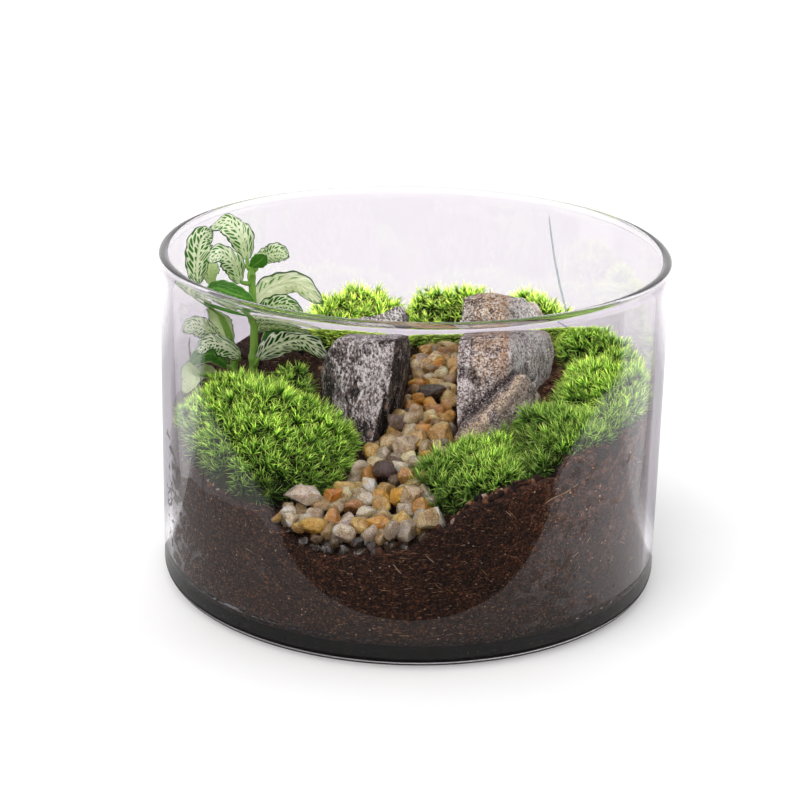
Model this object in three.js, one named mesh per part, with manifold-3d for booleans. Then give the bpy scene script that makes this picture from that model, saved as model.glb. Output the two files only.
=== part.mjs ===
// Glass plant terrarium: an open, straight-sided glass bowl holding planting soil, two planted
// stones, a gravel path, moss cushions and a variegated nerve plant.
// Millimetres, +Z up, origin at the middle of the underside of the bowl. The front is -Y.
import * as THREE from "three";
import { mergeVertices } from "three/addons/utils/BufferGeometryUtils.js";
import { ConvexGeometry } from "three/addons/geometries/ConvexGeometry.js";
import Module from "manifold-3d";

const wasm = await Module();
wasm.setup();

// ---------------------------------------------------------------- driving dimensions
const BOWL_HEIGHT = 101;
const BOWL_OUTER_R = 74.8; // outside of the wall
const WALL = 2.4;
const BEAD_R = 1.76; // fire-polished rim, a little proud of the wall on both sides
const FLOOR = 6; // thickness of the glass floor
const FOOT_R = 3.7; // outer rounding at the foot
const INNER_CORNER_R = 4;
const BOWL_SEGMENTS = 64;
const INNER_R = BOWL_OUTER_R - WALL;
const GAP = 0.35; // clearance kept between touching pieces
const SOIL_R = INNER_R - GAP - 0.15;
const SOIL_SEGMENTS = 48;
const STEM_SIDES = 8;
const LEAF_THICKNESS = 0.7;

const COLOUR = {
  glass: 0xe9eef2,
  soil: 0x3a2a20,
  slate: 0x4b4847,
  brownStone: 0x7f736a,
  paleStone: 0xc9b7ad,
  moss: 0x6fa82c,
  mossDark: 0x55901f,
  gravel: 0xb79a6d,
  stem: 0x6fa043,
  leaf: 0x3f8a3a,
  leafPale: 0xc8dbb0,
};

// ---------------------------------------------------------------- helpers
const group = new THREE.Group();

function solid(geometry) {
  const g = geometry.clone();
  for (const name of Object.keys(g.attributes))
    if (name !== "position") g.deleteAttribute(name);
  const m = mergeVertices(g, 1e-3);
  return new wasm.Manifold(
    new wasm.Mesh({
      numProp: 3,
      vertProperties: new Float32Array(m.attributes.position.array),
      triVerts: new Uint32Array(m.index.array),
    }),
  );
}

// The geometry of a solid, keeping only its largest body: slivers left by a cut are dropped.
function geometryOf(made) {
  const bodies = made.decompose();
  bodies.sort((a, b) => b.volume() - a.volume());
  const mesh = bodies[0].getMesh();
  const n = mesh.numProp;
  const v = new Float32Array(mesh.numVert * 3);
  for (let i = 0; i < mesh.numVert; i++)
    v.set(mesh.vertProperties.subarray(i * n, i * n + 3), i * 3);
  const g = new THREE.BufferGeometry();
  g.setAttribute("position", new THREE.BufferAttribute(v, 3));
  g.setIndex(new THREE.BufferAttribute(new Uint32Array(mesh.triVerts), 1));
  g.computeVertexNormals();
  return g;
}

function add(name, geometry, color, roughness = 0.85, extra = {}) {
  const mesh = new THREE.Mesh(
    geometry,
    new THREE.MeshStandardMaterial({
      color,
      roughness,
      metalness: 0,
      flatShading: true,
      ...extra,
    }),
  );
  mesh.name = name;
  group.add(mesh);
  return mesh;
}

// A solid grown about its own middle, used to cut the clearance around it.
function grown(made, by) {
  const b = made.boundingBox();
  const c = [0, 1, 2].map((i) => (b.min[i] + b.max[i]) / 2);
  const s = [0, 1, 2].map((i) => {
    const half = (b.max[i] - b.min[i]) / 2;
    return (half + by) / half;
  });
  return made
    .translate([-c[0], -c[1], -c[2]])
    .scale(s)
    .translate(c);
}

function fan(positions, faces) {
  const g = new THREE.BufferGeometry();
  g.setAttribute(
    "position",
    new THREE.BufferAttribute(new Float32Array(positions.flat()), 3),
  );
  g.setIndex(faces.flat());
  return g;
}

// ---------------------------------------------------------------- the lie of the soil
// Heights of the soil surface: along the front glass, down the gravel path, under the moss and
// round the stones. Between them it is interpolated by inverse distance.
const SOIL_POINTS = [
  // along the front of the glass, left to right
  [-72.2, 0, 53], [-70.5, -16, 51], [-63.4, -35, 42.6], [-55, -47.1, 41.5], [-44.3, -57.3, 41.4],
  [-34.1, -63.8, 37], [-29.9, -66, 32.6], [-21.4, -69.2, 32.1], [-13.2, -71.2, 33.3],
  [-2.3, -72.4, 35.5], [8.5, -71.9, 41.5], [19.2, -69.8, 48.3], [30.1, -65.9, 50.8],
  [37, -62.3, 53], [46.8, -55.3, 57.9], [52.6, -49.8, 59], [60.2, -40.2, 60], [67.1, -27.2, 60],
  [72, -8, 60], [72, 10, 61],
  // under the gravel path, front to back
  [-20, -60, 31.5], [-8, -62, 32.5], [-28, -56, 33], [-12, -45, 35], [-6, -30, 38.5],
  [0, -14, 41], [3, 2, 43.5], [5, 20, 46], [7, 38, 48.5], [8, 50, 50],
  [-24, -46, 35.5], [-34, -48, 38], [5, -63, 36],
  // left: under the moss mound, the plant and the dark stone
  [-60, -18, 50], [-46, -30, 49], [-34, -38, 43], [-24, -28, 43], [-42, -12, 52],
  [-56, 0, 53], [-30, -10, 49], [-22, -15, 45], [-50, 17, 53], [-60, 12, 53], [-40, 14, 52],
  [-18, 5, 46], [-12, -12, 42.5], [-27, 6, 50], [-26, 25, 52], [-14, 40, 54], [-25, 50, 57],
  [-45, 40, 56], [-60, 30, 55],
  // right: round the brown stone and under the long cushion
  [20, -12, 45.5], [34, -2, 50], [45, 14, 55], [26, 20, 52], [30, 36, 57], [60, 0, 58],
  [62, -25, 57.5], [50, -40, 54], [34, -52, 48], [22, -48, 44], [10, -46, 39.5], [20, -30, 44],
  [40, -22, 52], [8, -30, 41.5],
  // back
  [20, 60, 60], [40, 55, 61], [55, 40, 61], [0, 66, 59], [-20, 66, 59], [-45, 52, 58], [65, 20, 61],
];
function soilZ(x, y) {
  let top = 0,
    sum = 0;
  for (const [px, py, pz] of SOIL_POINTS) {
    const d2 = (x - px) ** 2 + (y - py) ** 2 + 9;
    const w = 1 / (d2 * d2);
    top += w * pz;
    sum += w;
  }
  return top / sum;
}

// ---------------------------------------------------------------- glass bowl
{
  const p = [];
  const arc = (cx, cz, r, a0, a1, n) => {
    for (let i = 0; i <= n; i++) {
      const a = THREE.MathUtils.degToRad(a0 + ((a1 - a0) * i) / n);
      p.push(new THREE.Vector2(cx + r * Math.cos(a), cz + r * Math.sin(a)));
    }
  };
  p.push(new THREE.Vector2(0, 0));
  arc(BOWL_OUTER_R - FOOT_R, FOOT_R, FOOT_R, -90, 0, 4);
  const beadX = BOWL_OUTER_R + 0.2 - BEAD_R;
  const beadZ = BOWL_HEIGHT - BEAD_R;
  p.push(new THREE.Vector2(BOWL_OUTER_R, beadZ - 2.6));
  arc(beadX, beadZ, BEAD_R, -20, 200, 8);
  p.push(new THREE.Vector2(INNER_R, beadZ - 2.6));
  arc(INNER_R - INNER_CORNER_R, FLOOR + INNER_CORNER_R, INNER_CORNER_R, 0, -90, 3);
  p.push(new THREE.Vector2(0, FLOOR));
  const g = new THREE.LatheGeometry(p, BOWL_SEGMENTS);
  g.rotateX(Math.PI / 2);
  add("glass_bowl", geometryOf(solid(g)), COLOUR.glass, 0.05, {
    transparent: true,
    opacity: 0.25,
  });
}

// ---------------------------------------------------------------- soil, before its pockets
const soilRings = [0.16, 0.32, 0.46, 0.58, 0.69, 0.79, 0.87, 0.94, 1];
function soilSolid(lift) {
  const P = [[0, 0, soilZ(0, 0) + lift]];
  const F = [];
  const n = SOIL_SEGMENTS;
  for (const t of soilRings)
    for (let i = 0; i < n; i++) {
      const a = (2 * Math.PI * i) / n;
      const x = SOIL_R * t * Math.cos(a);
      const y = SOIL_R * t * Math.sin(a);
      P.push([x, y, soilZ(x, y) + lift]);
    }
  // down the wall, round the inner corner of the glass and in to the middle of the floor
  const z0 = FLOOR + GAP + lift;
  const skirt = [
    [SOIL_R, z0 + 4.2],
    [SOIL_R - 1.4, z0 + 1.3],
    [SOIL_R - 4.2, z0],
  ];
  for (const [r, z] of skirt)
    for (let i = 0; i < n; i++) {
      const a = (2 * Math.PI * i) / n;
      P.push([r * Math.cos(a), r * Math.sin(a), z]);
    }
  P.push([0, 0, z0]);
  const rings = soilRings.length + skirt.length;
  for (let i = 0; i < n; i++) F.push([0, 1 + i, 1 + ((i + 1) % n)]);
  for (let r = 0; r + 1 < rings; r++)
    for (let i = 0; i < n; i++) {
      const a = 1 + r * n + i;
      const b = 1 + r * n + ((i + 1) % n);
      F.push([a, a + n, b + n], [a, b + n, b]);
    }
  const last = P.length - 1;
  for (let i = 0; i < n; i++)
    F.push([last, 1 + (rings - 1) * n + ((i + 1) % n), 1 + (rings - 1) * n + i]);
  return solid(fan(P, F));
}
let soil = soilSolid(0);
const soilRaised = soilSolid(GAP);

// ---------------------------------------------------------------- stones
const hull = (points) =>
  solid(new ConvexGeometry(points.map((p) => new THREE.Vector3(...p))));

// Dark slate stone: a leaning slab with a narrow pale top.
const darkStone = hull([
  [-18.7, 2, 77.6], [-9.3, 8, 79], [-3, 12, 78.8], [-0.9, 12, 76.8], [-1.4, 8, 74.9],
  [-5.2, -1, 75.2], [-17.1, -3, 75], [-20.9, -2, 73.8], [-24.5, -1, 70], [-27, 2, 64.2],
  [-28.3, 4, 60.3], [-26.3, 1, 50], [-19.9, -5.5, 48.5], [-15.2, -10.5, 44], [-11.8, -12.5, 41],
  [0, 12, 62.5], [-1.4, 9, 57], [-6.2, -1, 49], [-8.8, -7.5, 44], [-9, -8, 56.7], [-5.8, -5.3, 64.2],
  // the buried foot and the back, out of sight
  [-26, 5, 40], [-13, -10, 37], [-5, 5, 39], [-14, 15, 40], [-24, 14, 58], [-20, 14, 72],
  [-5, 17, 62], [-8, 15, 46],
]);

// Brown stone: a tall block with a ridge down its front, and a lower lobe grown to its foot.
const brownMain = hull([
  [14, 8, 83.5], [18.6, 12, 84.3], [23.4, 12, 84.6], [24.8, 8, 84.4], [28.7, 14, 82], [33.7, 18, 80.9],
  [34.5, 18, 76.8], [42.8, 22, 68.3], [44.6, 22, 61.9], [43.7, 20, 57], [41, 14, 50], [26.5, 2, 81.9],
  [28.7, -2, 75.4], [29.3, -5, 69], [13.5, 4, 79.7], [13, 0, 73.1], [12.9, -4, 66.6],
  [13.1, -8, 57.6], [13.5, -9.5, 50], [28, -6, 60],
  [14, -8, 39], [27, -5, 40], [40, 12, 43], [40, 27, 45], [20, 22, 42], [16, 18, 60], [18, 20, 78],
  [30, 27, 74], [41, 28, 62],
]);
const brownLobe = hull([
  [30.6, -6, 64.1], [35.3, -2, 62.8], [36.3, -4, 59.9], [39.7, 0, 55.4], [33.3, -9, 55.3],
  [28.3, -12, 53.1], [23.9, -14, 49], [12.6, -12, 45.4], [16, -10, 52], [20.2, -14.5, 52.7],
  [27.4, -12, 60], [14, -10, 39], [26, -12, 40], [38, -2, 45], [34, 4, 50], [20, 0, 48], [30, 2, 62],
]);
const brownStone = brownMain.add(brownLobe);
const flake = hull([
  [34.9, 26.5, 77.2], [37.7, 28.5, 76.3], [39.9, 28, 72.3], [43.5, 30.5, 66], [44, 33, 56],
  [36, 33.5, 73], [34, 35, 56], [42, 38, 54], [46, 32, 52], [36, 31, 52], [38, 36, 70], [34.5, 29.5, 70],
]).subtract(grown(brownStone, 0.6));

for (const s of [darkStone, brownStone, flake]) soil = soil.subtract(grown(s, GAP));

// ---------------------------------------------------------------- stems
// Each stem: points from under the soil to its top, and its radius.
const STEMS = {
  plant_stem_main: [[[-49.7, 17, 47], [-49.6, 17, 54.3], [-49.2, 17, 63.8], [-49.3, 18, 76.3], [-49.9, 19, 87.6]], 1.25],
  plant_stem_left: [[[-55.6, 22, 47], [-55.9, 22, 54.4], [-57.1, 22, 63.6], [-60.6, 21.5, 73], [-64, 19, 80]], 1.05],
  plant_stem_low: [[[-56.6, 11.5, 48], [-56, 11.8, 53.5], [-55, 12, 57.5], [-54, 11.5, 61.5]], 0.95],
};
function tube(points, r) {
  const curve = new THREE.CatmullRomCurve3(points.map((p) => new THREE.Vector3(...p)));
  const section = new THREE.Shape();
  for (let i = 0; i < STEM_SIDES; i++) {
    const a = (2 * Math.PI * i) / STEM_SIDES;
    if (i) section.lineTo(r * Math.cos(a), r * Math.sin(a));
    else section.moveTo(r, 0);
  }
  section.closePath();
  return solid(
    new THREE.ExtrudeGeometry(section, { steps: 10, bevelEnabled: false, extrudePath: curve }),
  );
}
const sockets = []; // each stem with its clearance, longer at both ends
const stemCurves = {};
for (const [name, [points, r]] of Object.entries(STEMS)) {
  stemCurves[name] = [new THREE.CatmullRomCurve3(points.map((p) => new THREE.Vector3(...p))), r];
  const longer = points.map((p) => [...p]);
  longer[0][2] -= 0.8;
  longer[longer.length - 1][2] += 0.6;
  const socket = tube(longer, r + 0.45);
  sockets.push(socket);
  add(name, geometryOf(tube(points, r)), COLOUR.stem, 0.5);
  soil = soil.subtract(socket);
}

// ---------------------------------------------------------------- leaves
// Each leaf: the stem it grows from and how high, four points down its midrib from the end of its
// stalk to its tip, the direction across the blade at each of them, and its half width. The last
// number marks the leaves whose pale veins nearly meet.
const LEAVES = [
  ["leaf_top", "plant_stem_main", 86.6, [[-51.2, 20.0, 90.3], [-52.9, 19.0, 97.8], [-57.3, 21.0, 101.5], [-62.9, 25.0, 98.7]], [[0.94, 0.28, 0.19], [0.83, 0.44, 0.35], [0.19, 0.86, 0.48], [-0.19, 0.94, 0.29]], 3.85, 1],
  ["leaf_tall_left", "plant_stem_left", 79.2, [[-65.4, 11.9, 84.4], [-65.4, 12.0, 91.9], [-64.0, 14.0, 98.3], [-61.2, 17.0, 99.7]], [[0.95, 0.29, -0.08], [0.95, 0.25, -0.2], [0.85, 0.13, -0.52], [0.56, 0.02, -0.83]], 3.63, 0],
  ["leaf_arch_centre", "plant_stem_main", 83.2, [[-52.7, 16.0, 84.2], [-54.4, 11.0, 91.2], [-58.3, 8.0, 95.1], [-62.0, 6.0, 93.1]], [[0.81, 0.57, 0.15], [0.69, 0.64, 0.35], [0.04, 0.81, 0.59], [-0.45, 0.76, 0.46]], 3.5, 1],
  ["leaf_small_right", "plant_stem_main", 86.2, [[-47.6, 20.0, 91.0], [-44.8, 20.0, 91.7], [-41.5, 20.0, 92.4], [-38.4, 19.0, 91.5]], [[0.14, 0.54, -0.83], [0.18, 0.26, -0.95], [-0.07, -0.04, -1.0], [-0.34, -0.12, -0.93]], 2.9, 1],
  ["leaf_node_front", "plant_stem_main", 85.2, [[-49.5, 17.0, 88.4], [-47.7, 14.0, 90.8], [-46.0, 11.0, 93.0], [-44.6, 8.0, 94.8]], [[0.59, 0.34, -0.73], [0.6, 0.24, -0.76], [0.55, 0.23, -0.8], [0.54, 0.22, -0.81]], 2.19, 0],
  ["leaf_mid_dark", "plant_stem_left", 78.0, [[-63.7, 19.0, 80.1], [-61.2, 18.0, 81.4], [-54.6, 13.0, 81.2], [-48.6, 9.0, 80.7]], [[0.12, -0.74, -0.66], [-0.07, -0.75, -0.66], [-0.24, -0.74, -0.63], [-0.25, -0.67, -0.7]], 3.23, 0],
  ["leaf_right_big", "plant_stem_main", 74.5, [[-48.7, 22.0, 75.1], [-43.9, 24.0, 79.8], [-36.2, 25.0, 80.9], [-28.1, 24.0, 75.3]], [[0.66, 0.16, -0.73], [0.38, 0.29, -0.88], [-0.18, 0.45, -0.87], [-0.44, 0.39, -0.81]], 4.36, 1],
  ["leaf_right_mid", "plant_stem_main", 72.2, [[-47.3, 16.0, 73.1], [-43.2, 14.0, 77.1], [-38.6, 13.0, 77.8], [-33.7, 13.0, 75.1]], [[0.43, 0.5, -0.75], [0.29, 0.37, -0.88], [-0.18, 0.36, -0.92], [-0.36, 0.38, -0.85]], 3.39, 0],
  ["leaf_right_low", "plant_stem_main", 57.6, [[-47.5, 14.0, 60.6], [-40.8, 11.0, 66.3], [-33.8, 10.0, 68.1], [-26.2, 11.0, 62.1]], [[0.5, 0.21, -0.84], [0.33, 0.28, -0.9], [-0.2, 0.36, -0.91], [-0.5, 0.21, -0.84]], 4.15, 0],
  ["leaf_right_back", "plant_stem_main", 65.0, [[-49.5, 24.0, 66.4], [-44.7, 27.0, 68.5], [-38.7, 30.0, 68.0], [-31.9, 32.0, 64.9]], [[0.35, 0.48, -0.81], [0.18, 0.54, -0.82], [-0.09, 0.53, -0.84], [-0.23, 0.45, -0.86]], 3.94, 0],
  ["leaf_left_pale", "plant_stem_left", 64.5, [[-59.1, 11.0, 66.5], [-62.9, 7.0, 71.8], [-66.4, 3.0, 74.2], [-69.0, -1.0, 73.5]], [[0.65, 0.44, 0.62], [0.46, 0.56, 0.69], [-0.09, 0.67, 0.73], [-0.37, 0.72, 0.59]], 2.86, 1],
  ["leaf_left_low", "plant_stem_low", 61.0, [[-52.8, 8.0, 63.1], [-57.4, 2.0, 68.8], [-61.7, -2.0, 70.3], [-64.1, -5.0, 68.1]], [[0.42, 0.82, 0.38], [0.24, 0.9, 0.37], [-0.23, 0.93, 0.28], [-0.53, 0.83, 0.19]], 3.6, 0],
  ["leaf_low_dark", "plant_stem_low", 58.2, [[-56.5, 12.0, 58.5], [-61.2, 10.0, 63.2], [-65.3, 6.0, 63.5], [-68.3, 2.0, 61.6]], [[0.5, 0.75, 0.42], [0.21, 0.85, 0.47], [-0.36, 0.83, 0.42], [-0.61, 0.66, 0.44]], 2.74, 0],
  ["leaf_hang_pale", "plant_stem_low", 56.6, [[-64.3, 1.0, 59.5], [-66.4, -3.0, 62.0], [-66.1, -6.8, 60.5], [-68.0, -9.0, 56.8]], [[0.38, 0.49, 0.78], [-0.33, 0.5, 0.8], [-0.95, 0.27, 0.18], [-0.96, 0.29, -0.05]], 2.88, 1],
  ["leaf_low_small", "plant_stem_low", 55.2, [[-59.8, 11.0, 55.5], [-62.4, 10.0, 57.7], [-64.6, 7.0, 57.7], [-66.0, 6.0, 55.4]], [[0.47, 0.7, 0.54], [0.13, 0.74, 0.66], [-0.59, 0.67, 0.46], [-0.79, 0.52, 0.31]], 2.15, 0],
  ["leaf_back_grey", "plant_stem_left", 60.5, [[-56.5, 22.0, 61.6], [-60.0, 24.0, 67.4], [-61.7, 24.8, 71.5], [-64.6, 24.2, 74.0]], [[0.85, -0.02, 0.53], [0.77, 0.02, 0.63], [0.56, -0.02, 0.83], [0.43, 0.01, 0.9]], 3.34, 0],
  ["leaf_rear_right", "plant_stem_main", 58.5, [[-47.3, 28.0, 59.9], [-44.6, 34.0, 62.0], [-40.4, 38.0, 61.8], [-36.7, 40.0, 58.2]], [[0.64, 0.36, -0.67], [0.45, 0.3, -0.84], [-0.17, 0.26, -0.95], [-0.48, 0.3, -0.82]], 2.78, 0],
  ["leaf_rear_left", "plant_stem_left", 77.5, [[-62.3, 23.3, 80.8], [-62.5, 22.8, 84.0], [-62.3, 23.4, 86.9], [-64.2, 25.4, 89.8]], [[0.81, 0.45, 0.38], [0.88, 0.41, 0.25], [0.95, 0.26, -0.17], [0.89, 0.17, -0.42]], 2.2, 0],
];
const LEAF_STATIONS = 8;
const STALK_HALF = 0.5;
const STALK_STATIONS = 2;
for (const [name, stem, height, mid, across, half, pale] of LEAVES) {
  const points = mid.map((p) => new THREE.Vector3(...p));
  // where the stalk leaves the stem: on its side that faces the blade, just clear of it
  const [stemCurve, stemR] = stemCurves[stem];
  let at = stemCurve.getPoint(0);
  for (let i = 0; i <= 200; i++) {
    const p = stemCurve.getPoint(i / 200);
    if (Math.abs(p.z - height) < Math.abs(at.z - height)) at = p;
  }
  const toBlade = points[0].clone().sub(at);
  toBlade.z *= 0.4;
  at.addScaledVector(toBlade.normalize(), stemR + 0.75);
  if (points[0].distanceTo(at) < 1.5) points[0] = at.clone().lerp(points[1], 0.12);
  const curve = new THREE.CatmullRomCurve3([at, ...points], false, "centripetal");
  const P = [];
  const n = LEAF_STATIONS + STALK_STATIONS;
  for (let i = 0; i <= n; i++) {
    // the first quarter of the curve is the stalk, the rest the blade
    const t = (i - STALK_STATIONS) / LEAF_STATIONS;
    const u = t < 0 ? (0.25 * i) / STALK_STATIONS : 0.25 + 0.75 * t;
    const c = curve.getPoint(u);
    const along = curve.getTangent(u);
    const k = t < 0 ? 0 : Math.min(2, Math.floor(t * 3));
    const f = t < 0 ? 0 : t * 3 - k;
    const s = new THREE.Vector3(...across[k]).lerp(new THREE.Vector3(...across[k + 1]), f);
    s.addScaledVector(along, -s.dot(along)).normalize();
    const up = new THREE.Vector3().crossVectors(along, s).normalize();
    // blade outline: widest a little past the middle, with a blunt tip
    const w =
      t < 0
        ? STALK_HALF
        : Math.max(STALK_HALF, half * Math.pow(Math.sin(Math.PI * Math.pow(0.03 + 0.95 * t, 0.95)), 0.62));
    const lift = -0.14 * w;
    for (const [u, h] of [[-1, lift], [0, 0], [1, lift]])
      for (const side of [1, -1])
        P.push(
          c
            .clone()
            .addScaledVector(s, u * w)
            .addScaledVector(up, h + (side * LEAF_THICKNESS) / 2)
            .toArray(),
        );
  }
  // six points a station: left, middle, right, each top then bottom
  const F = [];
  for (let i = 0; i < n; i++) {
    const a = i * 6;
    const b = a + 6;
    const quad = (p, q, r, s) => F.push([p, q, r], [p, r, s]);
    quad(a, a + 2, b + 2, b); // top left
    quad(a + 2, a + 4, b + 4, b + 2); // top right
    quad(a + 3, a + 1, b + 1, b + 3); // bottom left
    quad(a + 5, a + 3, b + 3, b + 5); // bottom right
    quad(a + 1, a, b, b + 1); // left edge
    quad(a + 4, a + 5, b + 5, b + 4); // right edge
  }
  const e = n * 6;
  F.push([0, 1, 3], [0, 3, 2], [2, 3, 5], [2, 5, 4]);
  F.push([e, e + 3, e + 1], [e, e + 2, e + 3], [e + 2, e + 5, e + 3], [e + 2, e + 4, e + 5]);
  let s = solid(fan(P, F));
  if (s.volume() < 0) s = solid(fan(P, F.map(([a, b, c]) => [a, c, b])));
  for (const socket of sockets) s = s.subtract(socket);
  add(name, geometryOf(s), pale ? COLOUR.leafPale : COLOUR.leaf, 0.55);
}

// ---------------------------------------------------------------- gravel path
const BED_OUTLINE = [
  [-37.5, -47], [-36.5, -58], [-28, -65], [-18, -68.6], [-6, -70.6], [5.5, -69], [9, -62], [5, -54],
  [0.2, -42], [2.5, -30], [9.5, -22], [11.5, -12], [11.6, 2], [12, 18], [13.5, 34], [14, 50], [3, 51],
  [0.5, 42], [0.8, 24], [-2, 8], [-6, -6], [-9.2, -18], [-14, -28], [-18.5, -40], [-24, -46], [-31, -46],
];
const BED_THICKNESS = 4.6;
// A body with a given outline, its top a height above the soil that falls off near the edge.
function mound(outline, top, rings) {
  const shape = outline.map((p) => new THREE.Vector2(...p));
  let cx = 0,
    cy = 0;
  for (const p of shape) (cx += p.x / shape.length), (cy += p.y / shape.length);
  const P = [[cx, cy, top(cx, cy, 0)]];
  const F = [];
  const n = shape.length;
  for (const t of rings)
    for (const p of shape) {
      const x = cx + (p.x - cx) * t;
      const y = cy + (p.y - cy) * t;
      P.push([x, y, top(x, y, t)]);
    }
  for (const p of shape) P.push([p.x, p.y, 25]);
  P.push([cx, cy, 25]);
  const all = rings.length + 1;
  for (let i = 0; i < n; i++) F.push([0, 1 + i, 1 + ((i + 1) % n)]);
  for (let r = 0; r + 1 < all; r++)
    for (let i = 0; i < n; i++) {
      const a = 1 + r * n + i;
      const b = 1 + r * n + ((i + 1) % n);
      F.push([a, a + n, b + n], [a, b + n, b]);
    }
  const last = P.length - 1;
  for (let i = 0; i < n; i++) F.push([last, 1 + (all - 1) * n + ((i + 1) % n), 1 + (all - 1) * n + i]);
  const s = solid(fan(P, F));
  return s.volume() < 0 ? solid(fan(P, F.map(([a, b, c]) => [a, c, b]))) : s;
}
// The path is long and bent, so its body is a strip of stations rather than a fan.
const PATH = [
  // centre x, centre y, half width, of the strip from the front glass to the back
  [-14.5, -67.6, 18], [-14.5, -60, 21.5], [-13.5, -52, 20], [-9.5, -44, 11.5], [-6.3, -35, 10],
  [-2, -26, 10.2], [1.2, -16, 9.8], [3.2, -5, 8.2], [4.6, 8, 6.6], [6.2, 20, 5.8], [7, 32, 6.4], [8.3, 42, 6], [8.8, 50, 4.6],
];
function pathSolid() {
  const P = [];
  const F = [];
  const across = [-1, -0.62, -0.2, 0.2, 0.62, 1];
  const m = across.length;
  for (const [x, y, w] of PATH) {
    for (const u of across) {
      const px = x + u * w;
      const z = soilZ(px, y) + BED_THICKNESS * (1 - 0.55 * Math.abs(u) ** 3);
      P.push([px, y, z]);
    }
    for (const u of across) P.push([x + u * w, y, 25]);
  }
  const s = 2 * m;
  const quad = (p, q, r, t) => F.push([p, q, r], [p, r, t]);
  for (let i = 0; i + 1 < PATH.length; i++) {
    const a = i * s;
    const b = a + s;
    for (let j = 0; j + 1 < m; j++) {
      quad(a + j, a + j + 1, b + j + 1, b + j);
      quad(a + m + j + 1, a + m + j, b + m + j, b + m + j + 1);
    }
    quad(a + m, a, b, b + m);
    quad(a + m - 1, a + s - 1, b + s - 1, b + m - 1);
  }
  const e = (PATH.length - 1) * s;
  for (let j = 0; j + 1 < m; j++) {
    quad(m + j, m + j + 1, j + 1, j);
    quad(e + j, e + j + 1, e + m + j + 1, e + m + j);
  }
  return solid(fan(P, F));
}
// Everything above the soil stays clear of the glass.
const inside = solid(
  new THREE.LatheGeometry(
    [[0, 8], [SOIL_R - 0.25, 8], [SOIL_R - 0.25, 110], [0, 110]].map((p) => new THREE.Vector2(...p)),
    BOWL_SEGMENTS,
  ).rotateX(Math.PI / 2),
);
let bed = pathSolid().subtract(soilRaised).intersect(inside);
for (const s of [darkStone, brownStone, flake]) bed = bed.subtract(grown(s, GAP));

// ---------------------------------------------------------------- pebbles lying on the path
// Each: middle x, y, half sizes, turn, and how far its middle stands above the path's top.
const PEBBLES = [
  ["pebble_white_large", -30.0, -49.0, 5.2, 3.9, 3.3, 0.2, 0.4, 0xd9cfc2],
  ["pebble_yellow", -25.7, -61.4, 3.8, 3.0, 2.5, 0.0, 0.4, 0xc9a24a],
  ["pebble_amber_tall", -21.3, -55.5, 2.5, 2.6, 3.2, 0.4, 0.4, 0xc08a2e],
  ["pebble_white_round", -17.6, -61.0, 3.3, 3.1, 3.4, 0.1, 0.4, 0xd6cdc4],
  ["pebble_gold", -8.6, -60.4, 3.7, 2.9, 2.9, 0.5, 0.4, 0xcf9a3c],
  ["pebble_pale_tooth", -4.9, -68.4, 2.6, 2.6, 3.3, -0.4, 0.4, 0xc9c1ae],
  ["pebble_milky_yellow", 5.1, -67.7, 3.3, 3.0, 3.4, 0.3, 0.4, 0xcdbf94],
  ["pebble_orange", -21.4, -47.1, 2.7, 2.6, 3.0, 0.2, 0.4, 0xbf7626],
  ["pebble_rust", -15.9, -51.4, 3.0, 2.6, 2.6, 0.8, 0.4, 0x9c6a3a],
  ["pebble_clear_long", -13.6, -44.5, 4.2, 3.0, 2.4, -0.6, 0.4, 0xb5a888],
  ["pebble_beige_front", 0.7, -50.4, 3.3, 3.2, 3.2, 0.1, 0.4, 0xc4b79a],
  ["pebble_olive_yellow", -6.6, -41.7, 3.2, 2.9, 2.7, -0.3, 0.4, 0xa99358],
  ["pebble_brown_round", -7.3, -34.3, 3.7, 3.3, 3.4, 0.2, 0.4, 0x54433d],
  ["pebble_orange_mid", -1.5, -38.0, 2.4, 2.6, 2.8, 0.2, 0.4, 0xbb8142],
  ["pebble_pale_mid", 1.4, -32.7, 2.9, 2.7, 2.7, 0.0, 0.4, 0xbfb3a0],
  ["pebble_beige_large", -1.5, -20.2, 4.2, 3.5, 3.4, 0.4, 0.4, 0xb8ab90],
  ["pebble_white_small", -7.7, -23.7, 2.4, 2.5, 2.9, 0.3, 0.4, 0xc9c0ae],
  ["pebble_honey_large", 8.6, -13.6, 3.7, 3.2, 4.0, 0.5, 0.4, 0xc0a15c],
  ["pebble_honey_small", 6.8, 3.1, 4.0, 3.0, 2.7, -0.2, 0.4, 0xb58338],
  ["pebble_grey_pink", -4.6, -4.7, 3.0, 2.9, 3.0, 0.1, 0.4, 0x8f8076],
  ["pebble_dark_flat", 6.1, 13.0, 4.6, 3.2, 2.4, 0.1, 0.4, 0x3f3833],
  ["pebble_tan_back", 10.5, 43.7, 4.0, 3.0, 2.1, 0.0, 0.4, 0xb08f5c],
  ["pebble_pink_back", 3.5, 38.6, 3.0, 2.6, 1.9, 0.1, 0.4, 0xbfa894],
];
let seed = 7;
const random = () => {
  seed = (seed * 16807) % 2147483647;
  return seed / 2147483647;
};
const pebbles = [];
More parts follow.
